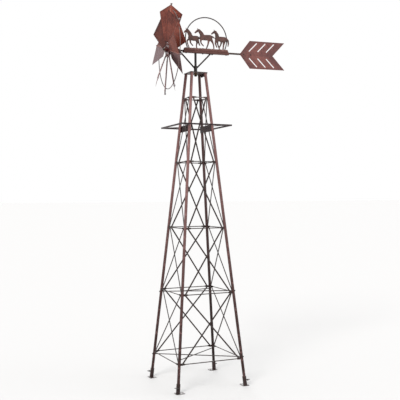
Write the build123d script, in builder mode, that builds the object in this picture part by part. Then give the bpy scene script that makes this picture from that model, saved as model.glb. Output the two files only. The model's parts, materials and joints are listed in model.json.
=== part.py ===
from build123d import *
from math import atan2, cos, degrees, radians, sin, sqrt
import os

# Garden windmill, about 8 ft tall: a four-legged lattice tower, a head that yaws on top of it with a
# tail vane and three running horses, and an eight-bladed wheel that spins on the head's boom.
# Origin: centre of the four feet, on the ground. +Z is up, and the tower's faces lie along X and Y.

# --- Driving dimensions, millimetres ---
TOWER_HEIGHT = 2000.0            # top face of the top plate
BASE_HALF = 230.7                # leg axis to tower axis along X and Y, at the ground
TOP_HALF = 46.9                  # the same at the top plate
LEG_R, LEG_WALL = 9.25, 1.2
LEG_FOOT_Z = 4.5                 # lower end of a leg, inside its foot
LEG_JOINT_Z = 700.0              # where the upper leg plugs into the lower one
SPIGOT_LENGTH = 60.0
SPIGOT_CLEARANCE = 0.1

FOOT_PLATE = (58.0, 45.0, 3.0)
FOOT_PLATE_SHIFT = 11.0          # plate centre from the leg axis
FOOT_SLEEVE_R, FOOT_SLEEVE_LENGTH = 12.5, 55.0
FOOT_BORE_CLEARANCE = 0.1
STAKE_HOLE_R, STAKE_HOLE_SHIFT = 4.5, 28.0
THUMB_SCREW_Z, THUMB_SCREW_R = 35.0, 3.0

RING_LEVELS = (171.0, 588.0, 998.0, 1421.0, 1834.0)
CROSS_LEVELS = RING_LEVELS[:2]   # levels with rods from leg to opposite leg
ROD_R = 3.0
LUG_REACH, LUG_HEIGHT, LUG_THICK = 25.5, 14.0, 3.0
BOLT_REACH = 19.0                # bolt centre from the leg axis, in the face
TAB_WIDTH, TAB_THICK = 10.0, 2.5
TIE_TAB_LENGTH, TIE_ROD_START = 18.0, 12.5
BRACE_WIDTH, BRACE_THICK = 9.0, 2.5
BOLT_R, BOLT_HOLE_R = 2.5, 2.6
HEAD_ACROSS, HEAD_HIGH, NUT_HIGH = 8.0, 3.5, 4.0
THREAD_END = 1.0                 # thread that shows past a nut
SMALL_BOLT_R, SMALL_HOLE_R, SMALL_ACROSS = 2.0, 2.1, 7.0
THIN_NUT = 1.8

PLATFORM_Z, PLATFORM_HALF = 1652.0, 170.0
PLATFORM_BAR = 9.0
PLATFORM_ARM = (8.0, 4.0)
PLATFORM_PLATE_Z, PLATFORM_PLATE = 1640.0, (42.0, 3.0)

TOP_PLATE_HALF, TOP_PLATE_THICK, TOP_FLANGE = 60.0, 3.0, 20.0
POST_R, POST_BOTTOM = 7.5, 1978.0
POST_CLEARANCE = 0.05
BUSH_R, BUSH_FLANGE_R, BUSH_FLANGE, BUSH_BOTTOM = 10.0, 16.0, 2.5, 1988.0
WASHER_R, WASHER_THICK = 15.0, 1.5
COLLAR_R, COLLAR_TOP = 11.0, 2046.0
CLIP_R, CLIP_THICK = 10.5, 2.0
RUNNING_GAP = 0.3

SHAFT_HEIGHT = 2141.0            # boom and wheel axis
HEAD_YAW = -5.8                  # degrees, rest direction of the tail from +X
BOOM_R, JOURNAL_R, BOOM_END = 6.0, 4.0, 400.0
SADDLE_TOP, SADDLE_PARTING, SADDLE_BOTTOM = 21.0, 2.0, -12.0
SADDLE_WALL = 2.0
SADDLE_LOW_ENDS, SADDLE_TOP_ENDS = (-86.0, 231.0), (-75.0, 218.0)
SADDLE_END_BOLTS, SADDLE_MIDDLE_BOLT = (-64.0, 212.0), 50.0
STRUT_R, STRUT_FOOT_Z = 5.0, 2035.0
STRUT_FRONT_TOP, STRUT_REAR_TOP = -112.0, 106.0
STRUT_REAR_BOLT = STRUT_REAR_TOP + 8.0
ARCH_CENTRE, ARCH_RADIUS, ARCH_SIDE = (76.0, 84.0), 142.0, 5.5
ARCH_ROD_R = 3.5
HORSE_THICK = 5.0

VANE_APEX, VANE_SHOULDER, VANE_NOTCH, VANE_BACK = 308.0, 380.0, 545.0, 632.0
VANE_HALF, VANE_THICK = 92.0, 2.0
VANE_SLOT_START, VANE_SLOT_RUN, VANE_SLOT_WIDTH = (373.0, 21.0), 59.0, 9.0
VANE_SLOT_PITCH, VANE_SLOTS = 62.0, 3
VANE_BOLTS = (336.0, 386.0)

WHEEL_D = -184.0                 # wheel plane along the boom, from the post
BLADES = 8
FIRST_SPOKE = 106.3              # degrees from the horizontal, in the wheel plane
BLADE_PITCH, BLADE_FOLD = 18.0, 1.5
BLADE_ROOT, BLADE_SHOULDER, BLADE_TIP = 50.0, 229.0, 280.0
BLADE_ROOT_HALF, BLADE_HALF, BLADE_THICK = 52.0, 130.0, 1.2
SPOKE_START, SPOKE_END, SPOKE_CAP, SPOKE_CAP_R = 18.0, 289.0, 9.0, 6.0
BLADE_STANDOFF = 0.05            # spoke to blade
HOOP_RADIUS, HOOP_R, HOOP_SLOT_R = 248.0, 2.5, 4.0
HUB_R, HUB_BORE, HUB_FRONT, HUB_REAR = 16.0, 6.5, -208.0, -162.0
HUB_PLATE_R, HUB_PLATE_THICK, HUB_BOLT_CIRCLE = 48.0, 2.5, 36.0
BUSH_LENGTH, HUB_BUSH_FLANGE_R, HUB_BUSH_FLANGE = 12.0, 10.0, 1.0
JOURNAL_CLEARANCE = 0.05
AXLE_NUT_ACROSS, AXLE_NUT_HIGH, JOURNAL_END = 13.0, 6.0, -219.0

LEAN = (BASE_HALF - TOP_HALF) / TOWER_HEIGHT
CORNERS = [(-1, -1), (1, -1), (1, 1), (-1, 1)]
FACES = range(4)
UP = Vector(0, 0, 1)

os.makedirs("parts", exist_ok=True)


def save(part, label):
    """Label one finished piece and write its STEP file."""
    part.label = label
    export_step(part, f"parts/{label}.step")


def gather(pieces):
    """One node made of several separate solids."""
    with BuildPart() as group:
        add(pieces)
    return group.part


# --- Shared shapes ---
def round_bar(start, end, radius):
    """A straight round bar between two points."""
    line = Vector(*end) - Vector(*start)
    with BuildPart() as bar:
        with BuildSketch(Plane(origin=start, z_dir=line)):
            Circle(radius)
        extrude(amount=line.length)
    return bar.part


def annulus(plane, outer, inner, height):
    """A ring that stands on a plane."""
    with BuildPart() as ring:
        with BuildSketch(plane):
            Circle(outer)
            Circle(inner, mode=Mode.SUBTRACT)
        extrude(amount=height)
    return ring.part


def bolt(plane, radius, grip, across=HEAD_ACROSS, nut_high=NUT_HIGH, thread_end=THREAD_END):
    """A hexagon bolt with its nut. The head sits on the plane and the shank goes down through the grip."""
    with BuildPart() as fastener:
        with BuildSketch(plane):
            RegularPolygon(across / 2, 6, major_radius=False)
        extrude(amount=HEAD_HIGH)
        with BuildSketch(plane):
            Circle(radius)
        extrude(amount=-(grip + nut_high + thread_end))
        if nut_high:
            with BuildSketch(plane.offset(-grip)):
                RegularPolygon(across / 2, 6, major_radius=False)
            extrude(amount=-nut_high)
    return fastener.part


# --- Tower geometry ---
def half_side(z):
    """Half the distance between neighbouring leg axes at a height."""
    return BASE_HALF - LEAN * z


def leg_point(corner, z):
    """A point on a leg's axis."""
    x, y = CORNERS[corner % 4]
    return Vector(x * half_side(z), y * half_side(z), z)


def face_plane(face, z, offset=0.0):
    """The leaning plane through two neighbouring leg axes: x along the face, y up, z outwards."""
    along = (leg_point(face + 1, z) - leg_point(face, z)).normalized()
    outward = (along.cross(UP) + UP * LEAN).normalized()
    middle = (leg_point(face, z) + leg_point(face + 1, z)) / 2
    return Plane(origin=middle + outward * offset, x_dir=along, z_dir=outward)


def bolt_x(z):
    """Distance of a lug's bolt from the middle of the face."""
    return half_side(z) - BOLT_REACH


def flat_bar(plane, start, end):
    """A flat strip with rounded, drilled ends, lying in a plane."""
    span = Vector(*end) - Vector(*start)
    middle = (Vector(*start) + Vector(*end)) / 2
    angle = degrees(atan2(span.Y, span.X))
    with BuildPart() as strip:
        with BuildSketch(plane):
            with Locations(Location((middle.X, middle.Y), angle)):
                SlotCenterToCenter(span.length, BRACE_WIDTH)
            with Locations(start, end):
                Circle(SMALL_HOLE_R, mode=Mode.SUBTRACT)
        extrude(amount=BRACE_THICK / 2, both=True)
    return strip.part


# --- Feet ---
def foot_side(corner):
    """The way a foot's plate points: each towards the next leg, like a pinwheel."""
    return (leg_point(corner + 1, 0) - leg_point(corner, 0)).normalized()


def screw_plane(corner, distance):
    """The plane of a foot's thumb screw, on the outer side of the leg."""
    x, y = CORNERS[corner]
    outward = Vector(x, y, 2 * LEAN).normalized()
    return Plane(origin=leg_point(corner, THUMB_SCREW_Z) + outward * distance, z_dir=outward)


def make_foot(corner):
    """A sleeve on a flat plate with a stake hole, and a threaded hole for its thumb screw."""
    side = foot_side(corner)
    axis = leg_point(corner, TOWER_HEIGHT) - leg_point(corner, 0)
    base = leg_point(corner, 0)
    plate_plane = Plane(origin=base, x_dir=side, z_dir=UP)
    with BuildPart() as foot:
        with BuildSketch(plate_plane):
            with Locations((FOOT_PLATE_SHIFT, 0)):
                RectangleRounded(FOOT_PLATE[0], FOOT_PLATE[1], 8.0)
            with Locations((STAKE_HOLE_SHIFT, 0)):
                Circle(STAKE_HOLE_R, mode=Mode.SUBTRACT)
        extrude(amount=FOOT_PLATE[2])
        with BuildSketch(Plane(origin=leg_point(corner, 2.0), z_dir=axis)):
            Circle(FOOT_SLEEVE_R)
        extrude(amount=FOOT_SLEEVE_LENGTH)
        split(bisect_by=Plane.XY, keep=Keep.TOP)
        with BuildSketch(Plane(origin=leg_point(corner, LEG_FOOT_Z - 0.2), z_dir=axis)):
            Circle(LEG_R + FOOT_BORE_CLEARANCE)
        extrude(amount=FOOT_SLEEVE_LENGTH + 5.0, mode=Mode.SUBTRACT)
        with BuildSketch(screw_plane(corner, 0)):
            Circle(THUMB_SCREW_R + 0.05)
        extrude(amount=FOOT_SLEEVE_R + 5.0, mode=Mode.SUBTRACT)
    return foot.part


def make_thumb_screw(corner):
    """A wing screw whose tip clamps the leg."""
    tip = screw_plane(corner, LEG_R + 0.05)
    head = screw_plane(corner, FOOT_SLEEVE_R + 6.0)
    wing = Plane(origin=head.origin, x_dir=UP.cross(head.z_dir), z_dir=head.z_dir)
    with BuildPart() as screw:
        with BuildSketch(tip):
            Circle(THUMB_SCREW_R)
        extrude(amount=FOOT_SLEEVE_R - LEG_R + 8.0)
        with BuildSketch(head):
            Circle(5.0)
        extrude(amount=5.0)
        with BuildSketch(wing.offset(2.0)):
            SlotOverall(26.0, 3.0)
        extrude(amount=11.0)
    return screw.part


for corner in FACES:
    save(make_foot(corner), f"foot_{corner + 1}")
save(gather([make_thumb_screw(corner) for corner in FACES]), "foot_screws")


# --- Legs ---
def cross_rod_ends(level):
    """End heights of the two rods that cross the tower at a level, as (corner, height) pairs."""
    return [((0, level + 28.0), (2, level - 15.0)), ((3, level - 15.0), (1, level + 10.0))]


def cross_hole_lines(corner):
    """Start and direction of each bolt hole that a leg has for the rods that cross the tower."""
    lines = []
    for level in CROSS_LEVELS:
        for (near, near_z), (far, far_z) in cross_rod_ends(level):
            a, b = leg_point(near, near_z), leg_point(far, far_z)
            if corner == near:
                lines.append((a, b - a))
            if corner == far:
                lines.append((b, a - b))
    return lines


def make_leg(corner, low, high, spigot):
    """One tube section of a leg, with its lugs and bolt holes."""
    axis = (leg_point(corner, high) - leg_point(corner, low)).normalized()
    bottom = Plane(origin=leg_point(corner, low), z_dir=axis)
    length = (leg_point(corner, high) - leg_point(corner, low)).length
    levels = [z for z in RING_LEVELS if low < z < high]
    faces = (((corner - 1) % 4, 1), (corner, -1))
    with BuildPart() as leg:
        with BuildSketch(bottom):
            Circle(LEG_R)
        extrude(amount=length)
        for z in levels:
            for face, end in faces:
                inner, outer = half_side(z) - LUG_REACH, half_side(z) - LEG_R + 0.75
                with BuildSketch(face_plane(face, z)):
                    with Locations((end * (inner + outer) / 2, 0)):
                        Rectangle(outer - inner, LUG_HEIGHT)
                    with Locations((end * bolt_x(z), 0)):
                        Circle(SMALL_HOLE_R, mode=Mode.SUBTRACT)
                extrude(amount=LUG_THICK / 2, both=True)
        with BuildSketch(bottom):
            Circle(LEG_R - LEG_WALL)
        extrude(amount=length, mode=Mode.SUBTRACT)
        if spigot:
            with BuildSketch(bottom):
                Circle(LEG_R - LEG_WALL)
                Circle(LEG_R - 2 * LEG_WALL, mode=Mode.SUBTRACT)
            extrude(amount=SPIGOT_LENGTH / 2)
            with BuildSketch(bottom):
                Circle(LEG_R - LEG_WALL - SPIGOT_CLEARANCE)
                Circle(LEG_R - 2 * LEG_WALL, mode=Mode.SUBTRACT)
            extrude(amount=-SPIGOT_LENGTH)
        for start, direction in cross_hole_lines(corner):
            if low < start.Z < high:
                with BuildSketch(Plane(origin=start, z_dir=direction)):
                    Circle(SMALL_HOLE_R)
                extrude(amount=LEG_R + 2.0, both=True, mode=Mode.SUBTRACT)
        split(bisect_by=Plane.XY.offset(TOWER_HEIGHT - TOP_PLATE_THICK), keep=Keep.BOTTOM)
    return leg.part


for corner in FACES:
    lower = make_leg(corner, LEG_FOOT_Z, LEG_JOINT_Z, spigot=False)
    upper = make_leg(corner, LEG_JOINT_Z + 0.2, TOWER_HEIGHT, spigot=True)
    save(lower, f"leg_lower_{corner + 1}")
    save(upper, f"leg_upper_{corner + 1}")


# --- Tie rods round each level, and the crossed braces of each bay ---
BRACE_LAYER = (LUG_THICK + BRACE_THICK) / 2
TIE_LAYER = BRACE_LAYER + (BRACE_THICK + TAB_THICK) / 2


def make_tie_rod(face, z):
    """A level round rod between two legs, with flattened, drilled ends bolted outside the lugs."""
    reach = bolt_x(z)
    plane = face_plane(face, z, TIE_LAYER)
    first = plane.from_local_coords((TIE_ROD_START - reach, 0, 0))
    bar = round_bar(first, plane.from_local_coords((reach - TIE_ROD_START, 0, 0)), ROD_R)
    with BuildPart() as rod:
        add(bar)
        with BuildSketch(plane):
            with Locations((-reach, 0), (reach, 0)):
                Circle(TAB_WIDTH / 2)
            for end in (-1, 1):
                with Locations((end * (reach - TIE_TAB_LENGTH / 2), 0)):
                    Rectangle(TIE_TAB_LENGTH, TAB_WIDTH)
            with Locations((-reach, 0), (reach, 0)):
                Circle(SMALL_HOLE_R, mode=Mode.SUBTRACT)
        extrude(amount=TAB_THICK / 2, both=True)
    return rod.part


def make_brace_pair(face, low, high):
    """Two crossing flat strips of one bay, one on each side of the lugs."""
    middle = (low + high) / 2
    rise = (high - low) / 2 * sqrt(1 + LEAN**2)
    strips = []
    for slope in (1, -1):
        plane = face_plane(face, middle, slope * BRACE_LAYER)
        start = (-slope * bolt_x(low), -rise)
        end = (slope * bolt_x(high), rise)
        strips.append(flat_bar(plane, start, end))
    return strips


for number, z in enumerate(RING_LEVELS, start=1):
    save(gather([make_tie_rod(face, z) for face in FACES]), f"tie_rods_{number}")

for number, (low, high) in enumerate(zip(RING_LEVELS, RING_LEVELS[1:]), start=1):
    bay = [strip for face in FACES for strip in make_brace_pair(face, low, high)]
    save(gather(bay), f"braces_bay_{number}")


# --- Rods across the tower, each held by a bolt through the leg into its end ---
CROSS_THREAD = 12.0


def make_cross_rod(near, far):
    """A rod from leg to opposite leg, hollow at its ends for the bolts."""
    a, b = leg_point(*near), leg_point(*far)
    step = (b - a).normalized()
    start, end = a + step * (LEG_R + 0.1), b - step * (LEG_R + 0.1)
    with BuildPart() as rod:
        with BuildSketch(Plane(origin=start, z_dir=step)):
            Circle(ROD_R)
        extrude(amount=(end - start).length)
        for corner, z in (near, far):
            leg_axis = leg_point(corner, TOWER_HEIGHT) - leg_point(corner, 0)
            with BuildSketch(Plane(origin=leg_point(corner, z), z_dir=leg_axis)):
                Circle(LEG_R + 0.1)
            extrude(amount=5 * ROD_R, both=True, mode=Mode.SUBTRACT)
        for point, inward in ((start, step), (end, -step)):
            with BuildSketch(Plane(origin=point, z_dir=inward)):
                Circle(SMALL_HOLE_R)
            extrude(amount=CROSS_THREAD, mode=Mode.SUBTRACT)
    return rod.part


def make_cross_bolt(start, direction):
    """The bolt at one end of a crossing rod, with its head outside the leg."""
    outward = -direction.normalized()
    seat = Plane(origin=start + outward * (LEG_R + 1.1), z_dir=outward)
    grip = 2 * LEG_R + CROSS_THREAD - 2.0
    return bolt(seat, SMALL_BOLT_R, grip, across=SMALL_ACROSS, nut_high=0.0, thread_end=0.0)


cross_rods = [make_cross_rod(*ends) for level in CROSS_LEVELS for ends in cross_rod_ends(level)]
save(gather(cross_rods), "cross_rods")
cross_bolts = [make_cross_bolt(*line) for corner in FACES for line in cross_hole_lines(corner)]

# --- Bolts at every lug ---
TIE_OUTER = TIE_LAYER + TAB_THICK / 2
LUG_GRIP = TIE_OUTER + BRACE_LAYER + BRACE_THICK / 2


def make_lug_bolt(face, end, z):
    """The bolt that holds a tie rod and two braces on one lug."""
    plane = face_plane(face, z, TIE_OUTER)
    seat = Plane(
        origin=plane.from_local_coords((end * bolt_x(z), 0, 0)), x_dir=plane.x_dir, z_dir=plane.z_dir
    )
    return bolt(seat, SMALL_BOLT_R, LUG_GRIP, across=SMALL_ACROSS)


lug_bolts = [make_lug_bolt(face, end, z) for z in RING_LEVELS for face in FACES for end in (-1, 1)]
save(gather(lug_bolts + cross_bolts), "tower_bolts")


# --- Platform: a wide frame round the tower, held by an arm from each leg, and two deep plates ---
def make_platform_bar(face):
    """One mitred side of the frame."""
    outer, inner = PLATFORM_HALF + PLATFORM_BAR / 2, PLATFORM_HALF - PLATFORM_BAR / 2
    side = (leg_point(face + 1, 0) - leg_point(face, 0)).normalized()
    plane = Plane(origin=(0, 0, PLATFORM_Z - PLATFORM_BAR / 2), x_dir=side, z_dir=UP)
    with BuildPart() as bar:
        with BuildSketch(plane):
            Polygon((-outer, -outer), (outer, -outer), (inner, -inner), (-inner, -inner), align=None)
        extrude(amount=PLATFORM_BAR)
    return bar.part


def make_platform_arm(corner):
    """A flat arm from a leg out to the frame's corner."""
    x, y = CORNERS[corner]
    leg = leg_point(corner, PLATFORM_Z)
    plane = Plane(origin=leg - UP * PLATFORM_ARM[1] / 2, x_dir=(x, y, 0), z_dir=UP)
    reach = (PLATFORM_HALF - PLATFORM_BAR / 2 - half_side(PLATFORM_Z)) * sqrt(2) + PLATFORM_ARM[0]
    limit = PLATFORM_HALF - PLATFORM_BAR / 2
    axis = leg_point(corner, TOWER_HEIGHT) - leg_point(corner, 0)
    with BuildPart() as arm:
        with BuildSketch(plane):
            with Locations((reach / 2, 0)):
                Rectangle(reach, PLATFORM_ARM[0])
        extrude(amount=PLATFORM_ARM[1])
        with BuildSketch(Plane.XY.offset(PLATFORM_Z - PLATFORM_ARM[1])):
            Rectangle(2 * limit, 2 * limit)
        extrude(amount=2 * PLATFORM_ARM[1], mode=Mode.INTERSECT)
        with BuildSketch(Plane(origin=leg, z_dir=axis)):
            Circle(LEG_R + 0.05)
        extrude(amount=2 * PLATFORM_ARM[1], both=True, mode=Mode.SUBTRACT)
    return arm.part


def make_platform_plate(face):
    """A deep plate on the inner side of two legs, under the platform."""
    height, thick = PLATFORM_PLATE
    plane = face_plane(face, PLATFORM_PLATE_Z, -LEG_R - 0.1)
    with BuildPart() as plate:
        with BuildSketch(plane):
            Rectangle(2 * half_side(PLATFORM_PLATE_Z) + LEG_R, height)
        extrude(amount=-thick)
    return plate.part


platform = [make_platform_bar(face) for face in FACES]
platform += [make_platform_arm(corner) for corner in FACES]
save(gather(platform), "platform_frame")
save(gather([make_platform_plate(face) for face in (1, 3)]), "platform_plates")

# --- Top plate and pivot bearing ---
with BuildPart() as top_plate:
    with BuildSketch(Plane.XY.offset(TOWER_HEIGHT - TOP_PLATE_THICK)):
        RectangleRounded(2 * TOP_PLATE_HALF, 2 * TOP_PLATE_HALF, 6.0)
        Circle(BUSH_R, mode=Mode.SUBTRACT)
    extrude(amount=TOP_PLATE_THICK)
    with BuildSketch(Plane.YZ.offset(TOP_PLATE_HALF)):
        with Locations((0, TOWER_HEIGHT - TOP_FLANGE / 2)):
            Trapezoid(2 * TOP_PLATE_HALF - 14.0, TOP_FLANGE, 65.0, rotation=180)
    extrude(amount=-TOP_PLATE_THICK / 2)
save(top_plate.part, "top_plate")

with BuildPart() as pivot_bush:
    with BuildSketch(Plane.XY.offset(BUSH_BOTTOM)):
        Circle(BUSH_R)
    extrude(amount=TOWER_HEIGHT - BUSH_BOTTOM)
    with BuildSketch(Plane.XY.offset(TOWER_HEIGHT)):
        Circle(BUSH_FLANGE_R)
    extrude(amount=BUSH_FLANGE)
    with BuildSketch(Plane.XY.offset(BUSH_BOTTOM)):
        Circle(POST_R + POST_CLEARANCE)
    extrude(amount=2 * TOP_FLANGE, mode=Mode.SUBTRACT)
save(pivot_bush.part, "pivot_bush")

WASHER_Z = TOWER_HEIGHT + BUSH_FLANGE
thrust_washer = annulus(Plane.XY.offset(WASHER_Z), WASHER_R, POST_R + 0.3, WASHER_THICK)
save(thrust_washer, "thrust_washer")

# --- Head: planes that follow the boom ---
TAILWARD = Vector(cos(radians(HEAD_YAW)), sin(radians(HEAD_YAW)), 0)
ASIDE = Vector(-sin(radians(HEAD_YAW)), cos(radians(HEAD_YAW)), 0)
HEAD_CENTRE = Vector(0, 0, SHAFT_HEIGHT)
SHAFT_AXIS = Axis(tuple(HEAD_CENTRE), tuple(TAILWARD))


def side_plane(shift=0.0):
    """The head's upright plane: x towards the tail, y up, and shifted aside from the boom."""
    return Plane(origin=HEAD_CENTRE + ASIDE * shift, x_dir=TAILWARD, z_dir=-ASIDE)


def across_plane(d):
    """The plane square to the boom at a distance from the post: x aside, y up, z towards the tail."""
    return Plane(origin=HEAD_CENTRE + TAILWARD * d, x_dir=ASIDE, z_dir=TAILWARD)


def level_plane(d, h):
    """A level plane over a point of the boom: x towards the tail, z up."""
    return Plane(origin=HEAD_CENTRE + TAILWARD * d + UP * h, x_dir=TAILWARD, z_dir=UP)


def head_point(d, h, shift=0.0):
    return HEAD_CENTRE + TAILWARD * d + UP * h + ASIDE * shift


# --- Post, with its collar and retaining clip ---
POST_TOP = SHAFT_HEIGHT + SADDLE_BOTTOM
save(round_bar((0, 0, POST_BOTTOM), (0, 0, POST_TOP), POST_R), "pivot_post")

COLLAR_Z = WASHER_Z + WASHER_THICK + RUNNING_GAP
collar = annulus(Plane.XY.offset(COLLAR_Z), COLLAR_R, POST_R + 0.02, COLLAR_TOP - COLLAR_Z)
save(collar, "post_collar")

CLIP_Z = BUSH_BOTTOM - 3.0 - CLIP_THICK
save(annulus(Plane.XY.offset(CLIP_Z), CLIP_R, POST_R + 0.02, CLIP_THICK), "post_clip")

# --- Boom: a round rod with a journal for the wheel, bolt holes, and a flat for the tail vane ---
SHOULDER_D = HUB_REAR + HUB_BUSH_FLANGE + RUNNING_GAP
with BuildPart() as boom:
    with BuildSketch(across_plane(SHOULDER_D)):
        Circle(BOOM_R)
    extrude(amount=BOOM_END - SHOULDER_D)
    with BuildSketch(across_plane(JOURNAL_END)):
        Circle(JOURNAL_R)
    extrude(amount=SHOULDER_D - JOURNAL_END)
    with BuildSketch(side_plane()):
        with Locations(((VANE_APEX - 3.0 + BOOM_END) / 2, 0)):
            Rectangle(BOOM_END - VANE_APEX + 3.0, 2 * BOOM_R + 2.0)
    extrude(amount=BOOM_R + 1.0, mode=Mode.SUBTRACT)
    for d in (*SADDLE_END_BOLTS, SADDLE_MIDDLE_BOLT):
        with BuildSketch(level_plane(d, 0)):
            Circle(BOLT_HOLE_R)
        extrude(amount=BOOM_R + 1.0, both=True, mode=Mode.SUBTRACT)
    with BuildSketch(level_plane(STRUT_FRONT_TOP, 0)):
        Circle(SMALL_HOLE_R)
    extrude(amount=BOOM_R + 1.0, both=True, mode=Mode.SUBTRACT)
    for d in VANE_BOLTS:
        with BuildSketch(side_plane()):
            with Locations((d, 0)):
                Circle(SMALL_HOLE_R)
        extrude(amount=-BOOM_R - 1.0, mode=Mode.SUBTRACT)
save(boom.part, "boom")

# --- Saddle: two pressed half shells round the boom, with slanted ends ---
SADDLE_HALF, SADDLE_TOP_HALF, SADDLE_LOW_HALF = 14.0, 11.0, 9.0


def saddle_shell(edge_h, face_h, face_half, floor_bolts):
    """One half shell, from its edge at the parting line to its flat face."""
    sign = 1 if face_h > edge_h else -1
    knee = face_h - sign * 5.0
    wall = SADDLE_WALL
    outer = [(-SADDLE_HALF, edge_h), (-SADDLE_HALF, knee), (-face_half, face_h)]
    inner = [
        (-SADDLE_HALF + wall, edge_h),
        (-SADDLE_HALF + wall, knee - sign * 1.0),
        (-face_half + 0.8, face_h - sign * wall),
    ]
    section = outer + [(-x, y) for x, y in reversed(outer)]
    hollow = inner + [(-x, y) for x, y in reversed(inner)]
    low, top = SADDLE_LOW_ENDS, SADDLE_TOP_ENDS
    with BuildPart() as shell:
        with BuildSketch(across_plane(low[0])):
            Polygon(*section, align=None)
            Polygon(*hollow, align=None, mode=Mode.SUBTRACT)
        extrude(amount=low[1] - low[0])
        with BuildSketch(side_plane()):
            Polygon(
                (low[0], SADDLE_BOTTOM), (low[1], SADDLE_BOTTOM), (top[1], SADDLE_TOP),
                (top[0], SADDLE_TOP), align=None,
            )
        extrude(amount=2 * SADDLE_HALF, both=True, mode=Mode.INTERSECT)
        for d, radius in floor_bolts:
            with BuildSketch(level_plane(d, face_h)):
                Circle(radius)
            extrude(amount=3.0, both=True, mode=Mode.SUBTRACT)
    return shell.part


upper_shell = saddle_shell(
    SADDLE_PARTING + 0.2, SADDLE_TOP, SADDLE_TOP_HALF, [(SADDLE_MIDDLE_BOLT, BOLT_HOLE_R)]
)
save(upper_shell, "saddle_upper")
lower_holes = [(d, BOLT_HOLE_R) for d in (*SADDLE_END_BOLTS, SADDLE_MIDDLE_BOLT)]
lower_holes.append((STRUT_REAR_BOLT, SMALL_HOLE_R))
save(saddle_shell(SADDLE_PARTING, SADDLE_BOTTOM, SADDLE_LOW_HALF, lower_holes), "saddle_lower")


def under_plane(d, h):
    """A level plane that faces down, for bolts put in from below."""
    return Plane(origin=head_point(d, h), x_dir=TAILWARD, z_dir=-UP)


END_GRIP = BOOM_R - SADDLE_BOTTOM
saddle_bolts = [bolt(under_plane(d, SADDLE_BOTTOM), BOLT_R, END_GRIP) for d in SADDLE_END_BOLTS]
middle_seat = level_plane(SADDLE_MIDDLE_BOLT, SADDLE_TOP)
saddle_bolts.append(bolt(middle_seat, BOLT_R, SADDLE_TOP - SADDLE_BOTTOM))

# --- Struts from the collar up to the boom and the saddle ---
PAD_THICK, PAD_LENGTH, PAD_WIDTH = 2.5, 34.0, 13.0
SHOE = (24.0, 14.0, 4.0)         # the block under the boom: length, width, depth below the boom
SOCKET_GAP = 1.0                 # room round a bolt head that is let into a strut


def strut_bar(top_d, top_h):
    """The round part of a strut, cut to fit the collar."""
    way = 1 if top_d > 0 else -1
    foot = head_point(way * COLLAR_R * 0.5, STRUT_FOOT_Z - SHAFT_HEIGHT - 4.0)
    with BuildPart() as bar:
        add(round_bar(foot, head_point(top_d, top_h), STRUT_R))
        with BuildSketch(Plane.XY.offset(COLLAR_Z)):
            Circle(COLLAR_R + 0.05)
        extrude(amount=2 * COLLAR_TOP, mode=Mode.SUBTRACT)
    return bar.part


rear_bar = strut_bar(STRUT_REAR_TOP - 6.0, SADDLE_BOTTOM - PAD_THICK / 2)
with BuildPart() as strut_rear:
    add(rear_bar)
    with BuildSketch(level_plane(STRUT_REAR_TOP, SADDLE_BOTTOM)):
        SlotOverall(PAD_LENGTH, PAD_WIDTH)
    extrude(amount=-PAD_THICK)
    split(bisect_by=level_plane(0, SADDLE_BOTTOM), keep=Keep.BOTTOM)
    with BuildSketch(under_plane(STRUT_REAR_BOLT, SADDLE_BOTTOM - PAD_THICK)):
        Circle(SMALL_ACROSS / 2 + SOCKET_GAP)
    extrude(amount=PAD_LENGTH, mode=Mode.SUBTRACT)
    with BuildSketch(under_plane(STRUT_REAR_BOLT, SADDLE_BOTTOM)):
        Circle(SMALL_HOLE_R)
    extrude(amount=PAD_LENGTH, mode=Mode.SUBTRACT)
save(strut_rear.part, "strut_rear")

SHOE_LENGTH, SHOE_WIDTH, SHOE_DEPTH = SHOE
FRONT_SEAT = -BOOM_R - SHOE_DEPTH
front_bar = strut_bar(STRUT_FRONT_TOP + 8.0, -BOOM_R - 2.5)
with BuildPart() as strut_front:
    add(front_bar)
    with BuildSketch(side_plane()):
        with Locations((STRUT_FRONT_TOP, -BOOM_R)):
            Rectangle(SHOE_LENGTH, 2 * SHOE_DEPTH)
    extrude(amount=SHOE_WIDTH / 2, both=True)
    with BuildSketch(across_plane(STRUT_FRONT_TOP - SHOE_LENGTH)):
        Circle(BOOM_R + 0.05)
    extrude(amount=3 * SHOE_LENGTH, mode=Mode.SUBTRACT)
    with BuildSketch(under_plane(STRUT_FRONT_TOP, 0)):
        Circle(SMALL_HOLE_R)
    extrude(amount=2 * SHOE_LENGTH, mode=Mode.SUBTRACT)
    with BuildSketch(under_plane(STRUT_FRONT_TOP, FRONT_SEAT)):
        Circle(SMALL_ACROSS / 2 + SOCKET_GAP)
    extrude(amount=SHOE_LENGTH, mode=Mode.SUBTRACT)
save(strut_front.part, "strut_front")

strut_bolts = [
    bolt(
        under_plane(STRUT_FRONT_TOP, FRONT_SEAT), SMALL_BOLT_R, BOOM_R - FRONT_SEAT,
        across=SMALL_ACROSS,
    ),
    bolt(
        under_plane(STRUT_REAR_BOLT, SADDLE_BOTTOM - PAD_THICK), SMALL_BOLT_R,
        PAD_THICK + SADDLE_WALL, across=SMALL_ACROSS, nut_high=THIN_NUT, thread_end=0.0,
    ),
]
save(gather(saddle_bolts + strut_bolts), "head_bolts")

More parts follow.
